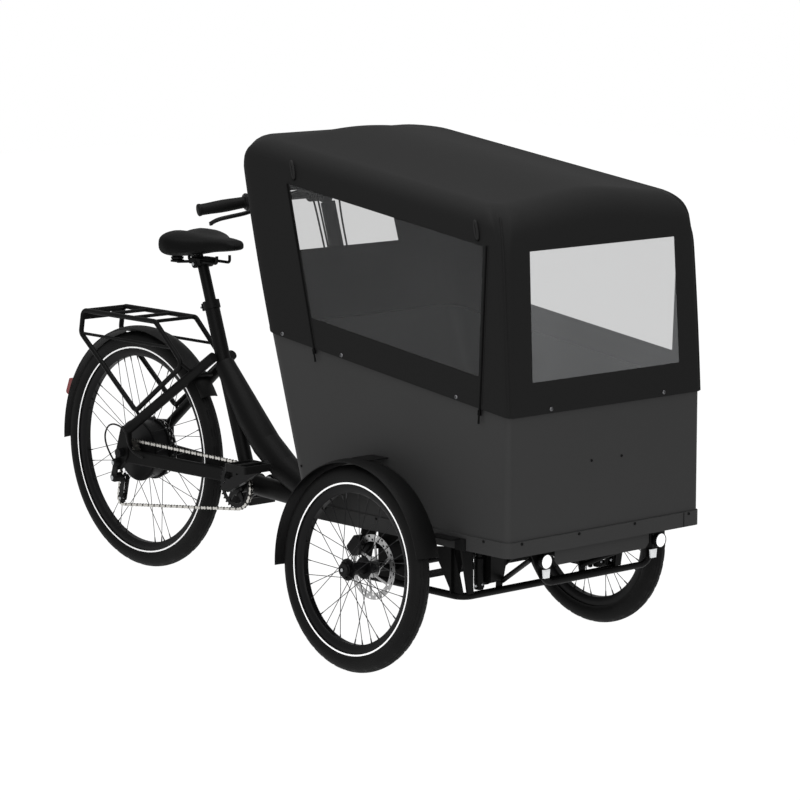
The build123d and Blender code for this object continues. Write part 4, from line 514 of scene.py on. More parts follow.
# Matte powder coat: an even black with a very fine orange peel and soft, broad highlights
orange_peel = ("Noise", 1 / COAT_GRAIN, 2, 0.12, 0.0003)
coat = {"specular": 0.09, "patches": (9.0, 4, 0.44, 0.56)}
coated_steel = surface("matte_black_powder_coat", "#090909", 0.5, orange_peel, **coat)
steel_nodes = ("frame", "rack", "subframe", "pivot_housing", "lamp_bar", "handlebar_column", "handlebar_stem")
dress(coated_steel, "frame_paint", *steel_nodes, "handlebar", "seat_post", "seat_collar", "saddle_rails")
dress(anodised, "axle_steel", "rear_axle")
dress(zinc, "axle_steel", "crank_spindle")
dress(anodised, "black_alloy", "front_calipers", "rear_caliper", "crank_arms")

# Drive: a toothed black chainring and plated sprockets joined by a half-inch roller chain.
# Outer and inner plates take turns along it, riveted over steel rollers.
CHAIN_PITCH = 0.0127
CHAIN_LINE = -0.052
CHAIN_SAMPLES = 1440
PLATE_RADIUS = 0.0042
PLATE_WAIST = 0.55 * PLATE_RADIUS
PLATE_HALF = 0.0005
OUTER_PLATE_OUT = 0.0036
INNER_PLATE_OUT = 0.0025
ROLLER_RADIUS = 0.0039
ROLLER_HALF = 0.002
crank_x, _, crank_z = joints["crank_spin"]["pos_m"]
rear_x, _, rear_z = joints["rear_wheel_spin"]["pos_m"]
pulley_spot = (rear_x - 0.037, rear_z - 0.137)
guide_spot = (rear_x - 0.024, rear_z - 0.078)
# Columns: x, z and radius of each wheel that the chain runs round
CHAIN_WHEELS = ((crank_x, crank_z, 0.064), (rear_x, rear_z, 0.033), (*pulley_spot, 0.018))

# Nickel plate: warm bright metal on the outer plates, dulled here and there by oil
nickel = surface("nickel_plated_chain", "#c4c2bd", 0.32, metallic=1.0, patches=(90.0, 2, 0.24, 0.44))
# Oiled steel: the inner plates and rollers stay dark between the bright outer plates
oiled = surface("oiled_steel_roller", "#4a4946", 0.4, metallic=1.0, patches=(90.0, 2, 0.3, 0.5))

path = []
for step in range(CHAIN_SAMPLES):
    way = polar(1.0, 2 * math.pi * step / CHAIN_SAMPLES)
    x, z, radius = max(CHAIN_WHEELS, key=lambda wheel: wheel[0] * way.x + wheel[1] * way.y + wheel[2])
    path.append(Vector((x, z)) + way * radius)
lengths = [(b - a).length for a, b in zip(path, path[1:] + path[:1])]
link_count = 2 * round(sum(lengths) / CHAIN_PITCH / 2)
pins, walked, index = [], 0.0, 0
for link in range(link_count):
    goal = sum(lengths) * link / link_count
    while walked + lengths[index] < goal:
        walked += lengths[index]
        index += 1
    a, b = path[index], path[(index + 1) % CHAIN_SAMPLES]
    pins.append(a + (b - a) * ((goal - walked) / lengths[index]))
bm = bmesh.new()
for link, pin in enumerate(pins):
    after = pins[(link + 1) % link_count]
    along = Vector((after.x - pin.x, 0, after.y - pin.y)).normalized()
    out = Vector((0, 1, 0))
    turn = Matrix((along, out.cross(along), out)).transposed().to_4x4()
    place = Matrix.Translation((pin.x, CHAIN_LINE, pin.y)) @ turn
    reach = (after - pin).length
    outline = []
    for centre, first, waist in ((0.0, 90, -PLATE_WAIST), (reach, -90, PLATE_WAIST)):
        for step in range(5):
            outline.append(Vector((centre, 0)) + polar(PLATE_RADIUS, math.radians(first + 45 * step)))
        outline.append((reach / 2, waist))
    offset = OUTER_PLATE_OUT if link % 2 else INNER_PLATE_OUT
    for middle in (-offset, offset):
        plate(bm, outline, middle - PLATE_HALF, middle + PLATE_HALF, place, 1 - link % 2)
    roller_ends = [place @ Vector((0, 0, height)) for height in (-ROLLER_HALF, ROLLER_HALF)]
    rod(bm, *roller_ends, ROLLER_RADIUS, 8, material=1)
piece("chain_links", bm, [nickel, oiled], "rear_frame", "chain_steel", "chain")

# Columns: share of a tooth's pitch, whether it is at the tip
TOOTH = ((0.0, False), (0.3, False), (0.45, True), (0.65, True), (0.8, False))


def gear(bm, place, tip, root, teeth, bore, half, material=0):
    """Adds a flat toothed ring."""
    outer, inner = [], []
    for tooth in range(teeth):
        for share, at_tip in TOOTH:
            turn = 2 * math.pi * (tooth + share) / teeth
            outer.append(polar(tip if at_tip else root, turn))
            inner.append(polar(bore, turn))
    ring_plate(bm, outer, inner, -half, half, place, material)


def sideways(x, y, z):
    """A place where flat x and y lie along the bike and upright, and z points to its right."""
    return Matrix.Translation((x, y, z)) @ Matrix.Rotation(math.radians(90), 4, "X")


# Columns of a gear: tip radius, root radius, teeth, bore radius, half thickness
CHAINRING = (0.0652, 0.0596, 32, 0.049, 0.0018)
BOSS_RADII = (0.024, 0.011)
BOSS_FACES = (-0.002, 0.006)
BOSS_STEPS = 40
SPIDER_ARMS = 5
SPIDER_START = 0.4
SPIDER_ARM = ((0.018, -0.008), (0.051, -0.0055), (0.051, 0.0055), (0.018, 0.008))
SPIDER_ARM_FACES = (-0.0022, 0.003)
SPIDER_BOLT_OUT = 0.0465
SPIDER_BOLT_RADIUS = 0.0042
SPIDER_BOLT_ENDS = (-0.003, 0.0042)
bm = bmesh.new()
place = sideways(crank_x, CHAIN_LINE, crank_z)
gear(bm, place, *CHAINRING)
boss_outer, boss_inner = [circle(radius, BOSS_STEPS) for radius in BOSS_RADII]
ring_plate(bm, boss_outer, boss_inner, *BOSS_FACES, place)
for arm in range(SPIDER_ARMS):
    spoke = place @ Matrix.Rotation(2 * math.pi * arm / SPIDER_ARMS + SPIDER_START, 4, "Z")
    plate(bm, SPIDER_ARM, *SPIDER_ARM_FACES, spoke)
    bolt_ends = [spoke @ Vector((SPIDER_BOLT_OUT, 0, height)) for height in SPIDER_BOLT_ENDS]
    rod(bm, *bolt_ends, SPIDER_BOLT_RADIUS, 8)
piece("chainring_toothed", bm, [anodised], "crankset", "black_alloy", "chainring")

# Columns: distance out from the middle, tip radius, teeth
SPROCKETS = (
    (0.0375, 0.0275, 14),
    (0.0420, 0.0275, 14),
    (0.0465, 0.0275, 14),
    (0.0515, 0.0275, 14),
    (0.0560, 0.0250, 13),
    (0.0605, 0.0230, 12),
)
SPROCKET_TOOTH = 0.004
SPROCKET_BORE = 0.0205
SPROCKET_HALF = 0.0009
bm = bmesh.new()
for out, tip, teeth in SPROCKETS:
    sprocket = (tip, tip - SPROCKET_TOOTH, teeth, SPROCKET_BORE, SPROCKET_HALF)
    gear(bm, sideways(rear_x, -out, rear_z), *sprocket)
piece("rear_sprockets_toothed", bm, [nickel], "rear_wheel", "chain_steel", "rear_sprockets")

# Guards and pedals: polypropylene and nylon, moulded in steel tools with a spark-eroded face.
# The guards are screwed to their stays, and the pedals turn on spindles in the crank arms.
MOULD_GRAIN = 0.0011

# Moulded plastic: black, with a fine grain that breaks up the highlights
mould_grain = ("Noise", 1 / MOULD_GRAIN, 2, 0.2, 0.0003)
mould_wear = (12.0, 3, 0.42, 0.58)
plastic = surface("moulded_polypropylene", "#0b0b0b", 0.5, mould_grain, specular=0.13, patches=mould_wear)
guards = ("rear_mudguard", "front_mudguard_right", "front_mudguard_left")
dress(plastic, "black_plastic", *guards, "pedals")

# Derailleur: a sprung parallelogram hung below the axle, with two toothed pulleys in a plate cage.
# Its knuckles are moulded, its links are pressed plate, and its bolts are plated.
HANGER = (rear_x - 0.020, rear_z - 0.030)
KNUCKLE = (rear_x - 0.030, rear_z - 0.074)
BACK_LINK_TOP = (HANGER[0] - 0.012, HANGER[1] - 0.004)
BACK_LINK_FOOT = (KNUCKLE[0] - 0.014, KNUCKLE[1] + 0.006)
CAGE_HALF = 0.0078
CAGE_PLATE_HALF = 0.0008
TIP = 0.0003
PULLEY = (0.0145, 0.0112, 11, 0.004, 0.0016)
PULLEY_BOLT = (CHAIN_LINE - 0.0082, CHAIN_LINE - 0.0105)
PULLEY_BOLT_RADIUS = 0.0042
# Columns: middle, radius, y of the inner and the outer end
KNUCKLES = ((HANGER, 0.0115, -0.066, -0.098), (KNUCKLE, 0.0130, -0.064, -0.094))
# Columns: first and second end, y of the right and the left face, radius of each end
links = [
    (HANGER, KNUCKLE, -0.0905, -0.0865, 0.0085, 0.0095),
    (BACK_LINK_TOP, BACK_LINK_FOOT, -0.082, -0.070, 0.006, 0.006),
]
for cage in (CHAIN_LINE - CAGE_HALF, CHAIN_LINE + CAGE_HALF):
    links.append((guide_spot, pulley_spot, cage - CAGE_PLATE_HALF, cage + CAGE_PLATE_HALF, 0.0085, 0.0075))

# The knuckles are round bodies along the axle, domed at the outer end over a plated bolt
bm = bmesh.new()
for spot, radius, inner, outer in KNUCKLES:
    deep = inner - outer
    rows = [(radius * 0.5, 0.0, 1), (radius, 0.001, 1), (radius, deep * 0.75, 1)]
    rows += [(radius * 0.8, deep * 0.95, 1), (radius * 0.55, deep, 1)]
    rows += [(radius * 0.5, deep * 1.04), (TIP, deep * 1.04)]
    turned(bm, rows, sideways(spot[0], inner, spot[1]), 24)

# The links and the cage are flat plates with round ends
for first, second, low, high, wide_first, wide_second in links:
    first, second = Vector(first), Vector(second)
    lean = math.atan2(second.y - first.y, second.x - first.x)
    outline = []
    for spot, wide, start in ((first, wide_first, 90), (second, wide_second, -90)):
        for step in range(7):
            outline.append(spot + polar(wide, lean + math.radians(start + 30 * step)))
    plate(bm, outline, -high, -low, sideways(0, 0, 0), 1)
for x, z in (guide_spot, pulley_spot):
    gear(bm, sideways(x, CHAIN_LINE, z), *PULLEY, 1)
    rod(bm, *[(x, y, z) for y in PULLEY_BOLT], PULLEY_BOLT_RADIUS, 8)
piece("derailleur_caged", bm, [zinc, plastic], "rear_frame", "chain_steel", "derailleur")

# Canopy: one tailored sheet of coated polyester stretched over hidden hoops and snapped to the box.
# It is cut open for the windows, and its lower edge is turned up and sewn into a hem.
axle_x = joints["front_wheel_right_spin"]["pos_m"][0]
CANOPY_HALF = 0.3291
CANOPY_MIDDLE = axle_x + 0.05
CLOTH_THICKNESS = 0.0016
HEM_FRONT = 0.666
HEM_RISE = 0.1357
HEM_WIDTH = 0.011
HEM_PROUD = 0.0008
HEM_ROWS = 3
FRONT_FOOT = 0.4541
FRONT_LEAN = 0.0547
REAR_FOOT = -0.3021
REAR_LEAN = 0.30
BOX_FOOT = 0.333
ROOF_EDGE = 1.1496
ROOF_EDGE_AHEAD = 0.397
ROOF_FALL = 0.1334
ROOF_CROWN = 0.0263
SHOULDER = 0.0494
ROLL_FRONT = 0.0661
ROLL_REAR = 0.0825
CORNER_FRONT = 0.020
CORNER_REAR = 0.049
TOP_CORNER_FRONT = 0.033
TOP_CORNER_REAR = 0.074
DROP_FRONT = 0.0716
DROP_REAR = 0.0427
HOOP_BACK = -0.5063
HOOP_RUN = 0.1024
PLAN_HEIGHT = 0.95
WALL_ROWS = 16
ROLL_ROWS = 10
CORNER_STEPS = 8
END_STEPS = 24
SIDE_STEPS = 34
HEIGHT_ROUNDS = 8
WALL_FACING = 0.85
CUT_SNAP = 1e-6
THREAD_GRAIN = 0.002


def canopy_front(z):
    return axle_x + FRONT_FOOT - FRONT_LEAN * (z - HEM_FRONT)


def canopy_rear(z):
    return axle_x + REAR_FOOT - REAR_LEAN * (z - BOX_FOOT)


def hem_height(x):
    return HEM_FRONT + HEM_RISE * (axle_x + FRONT_FOOT - x)


def eased(share):
    return share * share * (3 - 2 * share)


def roof_height(x, y):
    bow = 0.5 + 0.5 * math.cos(math.pi * min(1.0, abs(y) / CANOPY_HALF))
    ramp = eased(min(1.0, max(0.0, (x - axle_x - HOOP_BACK) / HOOP_RUN)))
    return ROOF_EDGE - ROOF_FALL * (x - axle_x - ROOF_EDGE_AHEAD) + ROOF_CROWN * bow * ramp


def plan_loop(rear, front, half, rear_corner, front_corner):
    """Points round a rounded rectangle, right front corner first: x, y and how much each faces an end."""
    # Columns: centre x and y, radius, first angle, whether it turns away from an end
    corners = (
        (front - front_corner, front_corner - half, front_corner, -90, False),
        (front - front_corner, half - front_corner, front_corner, 0, True),
        (rear + rear_corner, half - rear_corner, rear_corner, 90, False),
        (rear + rear_corner, rear_corner - half, rear_corner, 180, True),
    )
    arcs = []
    for centre_x, centre_y, radius, start, falling in corners:
        arc = []
        for step in range(CORNER_STEPS + 1):
            share = step / CORNER_STEPS
            turn = math.radians(start + 90 * share)
            facing_end = eased(1 - share if falling else share)
            arc.append((centre_x + radius * math.cos(turn), centre_y + radius * math.sin(turn), facing_end))
        arcs.append(arc)
    loop = []
    for index, arc in enumerate(arcs):
        loop += arc
        steps = SIDE_STEPS if index % 2 else END_STEPS
        begin, end = arc[-1], arcs[(index + 1) % 4][0]
        for step in range(1, steps):
            loop.append(tuple(a + (b - a) * step / steps for a, b in zip(begin, end)))
    return loop


plan_rear, plan_front = canopy_rear(PLAN_HEIGHT), canopy_front(PLAN_HEIGHT)


def canopy_loop(roll, level):
    """One closed row of canopy points: up the walls by level, then over the shoulder by roll."""
    drawn_in = 1 - math.cos(roll)
    loop = plan_loop(
        plan_rear + ROLL_REAR * drawn_in,
        plan_front - ROLL_FRONT * drawn_in,
        CANOPY_HALF - SHOULDER * drawn_in,
        CORNER_REAR + (TOP_CORNER_REAR - CORNER_REAR) * level * level,
        CORNER_FRONT + (TOP_CORNER_FRONT - CORNER_FRONT) * level * level,
    )
    points = []
    for plan_x, y, facing_end in loop:
        along = (plan_x - plan_rear) / (plan_front - plan_rear)
        end_roll = ROLL_FRONT if along > 0.5 else ROLL_REAR
        drop = DROP_FRONT if along > 0.5 else DROP_REAR
        radius = SHOULDER + (end_roll - SHOULDER) * facing_end + 4 * drop * facing_end * (1 - facing_end)
        z = PLAN_HEIGHT
        for _ in range(HEIGHT_ROUNDS):
            x = canopy_rear(z) + (canopy_front(z) - canopy_rear(z)) * along
            top = roof_height(x, y) - radius * (1 - math.sin(roll))
            z = hem_height(x) + level * (top - hem_height(x))
        points.append(Vector((x, y, z)))
    return points


bm = bmesh.new()
rows = []
hem_level = HEM_WIDTH / (ROOF_EDGE - HEM_FRONT)
wall_foot = hem_level * 1.3
levels = [0.0, hem_level * 0.5, hem_level, wall_foot]
levels += [wall_foot + (1 - wall_foot) * row / WALL_ROWS for row in range(1, WALL_ROWS + 1)]
loops = [(0.0, level) for level in levels]
loops += [(math.pi / 2 * row / ROLL_ROWS, 1.0) for row in range(1, ROLL_ROWS + 1)]
for index, (roll, level) in enumerate(loops):
    points = canopy_loop(roll, level)
    if index < HEM_ROWS:
        points = [p + Vector((p.x - CANOPY_MIDDLE, p.y, 0)).normalized() * HEM_PROUD for p in points]
    rows.append([bm.verts.new(p) for p in points])
for low, high in zip(rows, rows[1:]):
    skin(bm, low, high)

# The middle of the roof is a grid between the four sides of the last row
last = rows[-1]
across_steps, back_steps = END_STEPS + CORNER_STEPS, SIDE_STEPS + CORNER_STEPS
sides = []
start = CORNER_STEPS // 2
for span in (across_steps, back_steps, across_steps, back_steps):
    sides.append([last[(start + step) % len(last)] for step in range(span + 1)])
    start += span
front_side, left_side, rear_side, right_side = sides
rear_side, right_side = rear_side[::-1], right_side[::-1]
grid = []
for i in range(across_steps + 1):
    across = i / across_steps
    column = []
    for j in range(back_steps + 1):
        back = j / back_steps
        if j == 0:
            column.append(front_side[i])
        elif j == back_steps:
            column.append(rear_side[i])
        elif i == 0:
            column.append(right_side[j])
        elif i == across_steps:
            column.append(left_side[j])
        else:
            p = front_side[i].co * (1 - back) + rear_side[i].co * back
            p += right_side[j].co * (1 - across) + left_side[j].co * across
            p -= (front_side[0].co * (1 - across) + front_side[-1].co * across) * (1 - back)
            p -= (rear_side[0].co * (1 - across) + rear_side[-1].co * across) * back
            column.append(bm.verts.new((p.x, p.y, roof_height(p.x, p.y))))
    grid.append(column)
for i in range(across_steps):
    for j in range(back_steps):
        bm.faces.new((grid[i][j], grid[i + 1][j], grid[i + 1][j + 1], grid[i][j + 1]))
bm.normal_update()

# Openings in the cloth. Columns: name, whether it is in a side, sign of the way it faces,
# corners as distance along the wall and height
SIDE_WINDOW = ((-0.337, 1.160), (0.364, 1.063), (0.351, 0.755), (-0.257, 0.836))
WINDOWS = (
    ("right", True, -1, SIDE_WINDOW),
    ("left", True, 1, SIDE_WINDOW),
    ("front", False, 1, ((-0.244, 1.050), (0.244, 1.050), (0.249, 0.743), (-0.249, 0.743))),
    ("rear", False, -1, ((-0.178, 1.118), (0.178, 1.118), (0.180, 0.970), (-0.180, 0.970))),
)


def on_wall(face, in_side, sign):
    return (face.normal.y if in_side else face.normal.x) * sign > WALL_FACING


films = {}
for name, in_side, sign, corners in WINDOWS:
    flat = [Vector((axle_x + along if in_side else along, z)) for along, z in corners]
    edges = list(zip(flat, flat[1:] + flat[:1]))
    for a, b in edges:
        run = (b - a).normalized()
        normal = Vector((run.y, 0, -run.x)) if in_side else Vector((0, run.y, -run.x))
        spot = Vector((a.x, 0, a.y)) if in_side else Vector((0, a.x, a.y))
        chosen = [f for f in bm.faces if on_wall(f, in_side, sign)]
        chosen_edges = {e for f in chosen for e in f.edges}
        chosen_verts = {v for f in chosen for v in f.verts}
        geom = [*chosen, *chosen_edges, *chosen_verts]
        bmesh.ops.bisect_plane(bm, geom=geom, dist=CUT_SNAP, plane_co=spot, plane_no=normal)
        bm.normal_update()
    inside = []
    for face in bm.faces:
        if on_wall(face, in_side, sign):
            spot = face.calc_center_median()
            p = Vector((spot.x if in_side else spot.y, spot.z))
            turns = [(b - a).cross(p - a) for a, b in edges]
            if all(t < 0 for t in turns) or all(t > 0 for t in turns):
                inside.append(face)
    film = bmesh.new()
    copies = {}
    for face in inside:
        for vert in face.verts:
            if vert not in copies:
                copies[vert] = film.verts.new(vert.co - vert.normal * CLOTH_THICKNESS / 2)
        film.faces.new([copies[vert] for vert in face.verts])
    films[name] = film
    bmesh.ops.delete(bm, geom=inside, context="FACES")
cloth_area = sum(face.calc_area() for face in bm.faces)
bm.normal_update()
bmesh.ops.solidify(bm, geom=bm.faces[:], thickness=CLOTH_THICKNESS)

# Coated polyester: a flat black with a soft sheen on the rolled edges, from a tight plain weave.
# The real threads are 0.4 mm apart, and here their grain is drawn five times as coarse to be seen.
threads = ("Noise", 1 / THREAD_GRAIN, 1, 0.015, 0.0003)
slack = ("Noise", 5.0, 2, 0.10, 0.01)
cloth = surface("coated_polyester_weave", "#141414", 0.8, threads, slack, specular=0.14)
canopy_nodes = ("canopy_roof", "canopy_front", "canopy_rear", "canopy_side_right", "canopy_side_left")
canopy = piece("canopy_cloth", bm, [cloth], "front_carriage", "canopy_cloth", *canopy_nodes, sharp=60)

# Windows: clear soft PVC film sewn in behind the openings, a little hazy and softly reflecting.
# Most light passes straight through, and a few parts in a hundred scatter as a grey veil.
FILM_PASS = "#e3e3e3"
FILM_VEIL = "#e6e8ea"
FILM_GLOSS = 0.02
FILM_ROUGHNESS = 0.22
FILM_CLOUDS = 4.0
HAZE_SWING = 0.3
# Columns: window, flat width and height, share of light that its haze scatters
FILM_SIZES = (
    ("right", 0.70, 0.40, 0.026),
    ("left", 0.70, 0.40, 0.026),
    ("front", 0.498, 0.308, 0.11),
    ("rear", 0.36, 0.155, 0.026),
)
for name, width, height, haziness in FILM_SIZES:
    film_sheet, tree = empty_material(f"clear_pvc_film_{name}")
    clear = node(tree, "ShaderNodeBsdfTransparent", {"Color": linear(FILM_PASS)})
    veil = node(tree, "ShaderNodeBsdfDiffuse", {"Color": linear(FILM_VEIL)})
    gloss = node(tree, "ShaderNodeBsdfGlossy", {"Color": WHITE, "Roughness": FILM_ROUGHNESS})
    spot = node(tree, "ShaderNodeTexCoord").outputs["Object"]
    haze = node(tree, "ShaderNodeTexNoise", {"Vector": spot, "Scale": FILM_CLOUDS, "Detail": 3})
    swing = {"To Min": haziness * (1 - HAZE_SWING), "To Max": haziness * (1 + HAZE_SWING)}
    veil_share = node(tree, "ShaderNodeMapRange", {"Value": haze, **swing})
    hazy = node(tree, "ShaderNodeMixShader", {0: veil_share, 1: clear, 2: veil})
    shine = node(tree, "ShaderNodeMixShader", {0: FILM_GLOSS, 1: hazy, 2: gloss})
    node(tree, "ShaderNodeOutputMaterial", {"Surface": shine})
    area = min(sum(face.calc_area() for face in films[name].faces), width * height)
    pane = piece(f"film_{name}", films[name], [film_sheet], "front_carriage", "window_film", f"window_{name}")

# Saddle: moulded foam under a stretched black cover, with a broad two-lobed tail and a short nose.
# It sits on a plastic shell, and two ribbed elastomers carry the tail above the rails.
SADDLE_TAIL = axle_x - 1.190
SADDLE_LENGTH = 0.263
SADDLE_STATIONS = 34
SADDLE_POINTS = 36
CHANNEL_DEPTH = 0.012
CHANNEL_HALF = 0.020
CHANNEL_START = 0.08
CHANNEL_END = 0.6
SQUARE_ACROSS = 0.75
SQUARE_UP = 0.7
# Columns: share of the length from the tail, half width, height of the top, height of the underside
SADDLE_LINES = (
    (0.00, 0.020, 0.933, 0.914),
    (0.02, 0.052, 0.946, 0.902),
    (0.07, 0.082, 0.957, 0.892),
    (0.16, 0.101, 0.962, 0.888),
    (0.28, 0.105, 0.961, 0.891),
    (0.42, 0.092, 0.956, 0.898),
    (0.55, 0.068, 0.951, 0.904),
    (0.68, 0.048, 0.949, 0.909),
    (0.82, 0.037, 0.948, 0.913),
    (0.93, 0.030, 0.945, 0.917),
    (0.985, 0.019, 0.937, 0.920),
    (1.00, 0.008, 0.931, 0.924),
)


def along_lines(lines, share):
    """Values between the rows of a table, by share."""
    for before, after in zip(lines, lines[1:]):
        if share <= after[0]:
            part = (share - before[0]) / (after[0] - before[0])
            return [a + (b - a) * part for a, b in zip(before[1:], after[1:])]
    return lines[-1][1:]


bm = bmesh.new()
rings = []
for station in range(SADDLE_STATIONS + 1):
    share = 0.5 - 0.5 * math.cos(math.pi * station / SADDLE_STATIONS)
    half, top, low = along_lines(SADDLE_LINES, share)
    channel = CHANNEL_DEPTH * max(0.0, 1 - share / CHANNEL_END) * min(1.0, share / CHANNEL_START)
    ring = []
    for step in range(SADDLE_POINTS):
        side, lift = polar(1.0, 2 * math.pi * step / SADDLE_POINTS)
        y = half * math.copysign(abs(side) ** SQUARE_ACROSS, side)
        z = (top + low) / 2 + (top - low) / 2 * math.copysign(abs(lift) ** SQUARE_UP, lift)
        if lift > 0:
            z -= channel * math.exp(-((y / CHANNEL_HALF) ** 2))
        ring.append(bm.verts.new((SADDLE_TAIL + SADDLE_LENGTH * share, y, z)))
    rings.append(ring)
for low, high in zip(rings, rings[1:]):
    for step in range(SADDLE_POINTS):
        after = (step + 1) % SADDLE_POINTS
        bm.faces.new((low[step], high[step], high[after], low[after]))
bm.faces.new(rings[0])
bm.faces.new(rings[-1][::-1])
bmesh.ops.smooth_vert(bm, verts=bm.verts[:], factor=0.5, use_axis_x=True, use_axis_y=True, use_axis_z=True)

# Stretched polyurethane cover: matte black with a fine pebble that takes a broad soft highlight
pebble = ("Voronoi", 520.0, 0, 0.18, 0.0003)
cover = surface("stretched_polyurethane_cover", "#070707", 0.6, pebble, specular=0.08)
saddle = piece("saddle_foam", bm, [cover], "rear_frame", "saddle_cover", "saddle", sharp=70)

ELASTOMER_X = axle_x - 1.150
ELASTOMER_OUT = 0.034
ELASTOMER_FOOT = 0.872
RIB_COUNT = 4
RIB_PITCH = 0.0085
RIB_RADIUS = 0.0185
RIB_TAPER = 0.001
RIB_NECK = 0.013
ELASTOMER_LUG = Vector((ELASTOMER_X, ELASTOMER_OUT, ELASTOMER_FOOT + 0.0015))
RAIL_LUG = Vector((axle_x - 1.112, 0.024, 0.8765))
LUG_RADIUS = 0.004


def on_side(point, side):
    """A point or direction of the left side, mirrored to the right where the side is -1."""
    return Vector((point.x, side * point.y, point.z))


bm = bmesh.new()
for side in (-1, 1):
    ribs = [(0.006, 0.0)]
    for rib in range(RIB_COUNT):
        radius, foot = RIB_RADIUS - RIB_TAPER * rib, RIB_PITCH * rib
        ribs += [(radius, foot + 0.002), (radius, foot + 0.0065), (RIB_NECK, foot + 0.0075)]
    turned(bm, ribs, Matrix.Translation((ELASTOMER_X, side * ELASTOMER_OUT, ELASTOMER_FOOT)), 24)
    rod(bm, on_side(ELASTOMER_LUG, side), on_side(RAIL_LUG, side), LUG_RADIUS, 8)
piece("saddle_elastomers", bm, [plastic], "rear_frame", "black_plastic")

# Seat clamps: a split collar drawn tight round the post by one bolt through two small ears behind it,
# and the saddle's own cross bolt, which pinches the rails on top of the post.
POST_LEAN = 0.343
COLLAR = Vector((axle_x - 1.0465, 0, 0.7625))
EAR_BEHIND = 0.026
EAR_OUT = 0.0065
EAR_HALF = 0.010
EAR_RADIUS = 0.006
COLLAR_BOLT_BEHIND = 0.028
RAIL_CLAMP = Vector((axle_x - 1.083, 0, 0.872))
lean = Vector((-POST_LEAN, 0, 1)).normalized()
behind = Vector((-1, 0, -POST_LEAN)).normalized()
# Columns: middle, half length, radius, sides, material
CROSS_BOLTS = (
    (COLLAR + behind * COLLAR_BOLT_BEHIND, 0.016, 0.003, 8, 1),
    (RAIL_CLAMP, 0.030, 0.011, 16, 0),
    (RAIL_CLAMP, 0.034, 0.0048, 6, 1),
)
bm = bmesh.new()
for side in (-1, 1):
    ear = COLLAR + behind * EAR_BEHIND + Vector((0, side * EAR_OUT, 0))
    rod(bm, ear - lean * EAR_HALF, ear + lean * EAR_HALF, EAR_RADIUS, 8)
for middle, half, radius, sides, material in CROSS_BOLTS:
    out = Vector((0, half, 0))
    rod(bm, middle - out, middle + out, radius, sides, material=material)
piece("seat_clamps", bm, [coated_steel, zinc], "rear_frame", "frame_paint")

# Load box: flat panels folded round at the back, powder coated a dark grey, on a base trim
# screwed on all round. A recessed valance closes the front between the lamps.
VALANCE_AHEAD = 0.4385
VALANCE_HALF = 0.161
VALANCE_LOW = 0.294
VALANCE_TOP = 0.3345
VALANCE_SLANT = 0.012
VALANCE_THICKNESS = 0.002
VALANCE_PIN = Vector((axle_x + 0.434, 0.13, 0.318))
VALANCE_PIN_RADIUS = 0.004

# Powder-coated panel: a dark neutral grey, dull enough to hide the sheet's small waves
panel_peel = ("Noise", 620.0, 2, 0.04, 0.0003)
panel_wear = (4.0, 3, 0.56, 0.68)
panel = surface("powder_coated_box_panel", "#2b2b2b", 0.62, panel_peel, specular=0.22, patches=panel_wear)
dress(panel, "box_panel", "box_front", "box_rear", "box_side_right", "box_side_left", "box_floor", "box_trim")


def ahead_facing(ahead, y=0.0, z=0.0):
    """A place where flat x and y lie across the bike and upright, and z points ahead."""
    return Matrix(((0, 0, 1, axle_x + ahead), (1, 0, 0, y), (0, 1, 0, z), (0, 0, 0, 1)))


bm = bmesh.new()
valance = [
    (VALANCE_SLANT - VALANCE_HALF, VALANCE_LOW),
    (VALANCE_HALF - VALANCE_SLANT, VALANCE_LOW),
    (VALANCE_HALF, VALANCE_LOW + VALANCE_SLANT),
    (VALANCE_HALF, VALANCE_TOP),
    (-VALANCE_HALF, VALANCE_TOP),
    (-VALANCE_HALF, VALANCE_LOW + VALANCE_SLANT),
]
plate(bm, valance, -VALANCE_THICKNESS, 0.0, ahead_facing(VALANCE_AHEAD))
for side in (-1, 1):
    pin = on_side(VALANCE_PIN, side)
    rod(bm, pin, (pin.x, pin.y, VALANCE_TOP), VALANCE_PIN_RADIUS, 8)
piece("front_valance", bm, [panel], "front_carriage", "box_panel")

# Front undercarriage: pressed side gussets, paired dampers and a small control box under the floor.
# They are bolted between the loop tube and the box, and a strut on each side steadies the lamp bar.
LOOP_OUT = 0.270
LOOP_TOP = 0.207
GUSSET_HALF = 0.002
# Columns of a side outline: distance ahead, height
GUSSET = ((0.130, 0.310), (0.205, 0.320), (0.238, LOOP_TOP), (0.196, LOOP_TOP))
CONTROL_CASE = ((0.192, 0.222), (0.236, 0.222), (0.241, 0.228), (0.241, 0.334), (0.192, 0.334))
CASE_SIDES = (0.138, 0.182)
# Columns of an outline across the bike: y on the right side, height
CHANNEL = ((-0.286, 0.334), (-0.252, 0.334), (-0.243, LOOP_TOP), (-0.262, LOOP_TOP))
INNER_PLATE = ((-0.140, 0.334), (-0.104, 0.334), (-0.134, LOOP_TOP), (-0.152, LOOP_TOP))
LAMP_CHEEK = ((-0.228, 0.333), (-0.165, 0.333), (-0.168, 0.262), (-0.194, 0.262))
# Columns: outline, distance ahead, thickness
CROSS_PLATES = ((CHANNEL, 0.240, 0.006), (INNER_PLATE, 0.226, 0.005), (LAMP_CHEEK, 0.421, 0.003))
# Columns: distance out, distance ahead, radius
DAMPERS = ((0.232, 0.226, 0.0045), (0.204, 0.222, 0.0115), (0.186, 0.214, 0.0060))
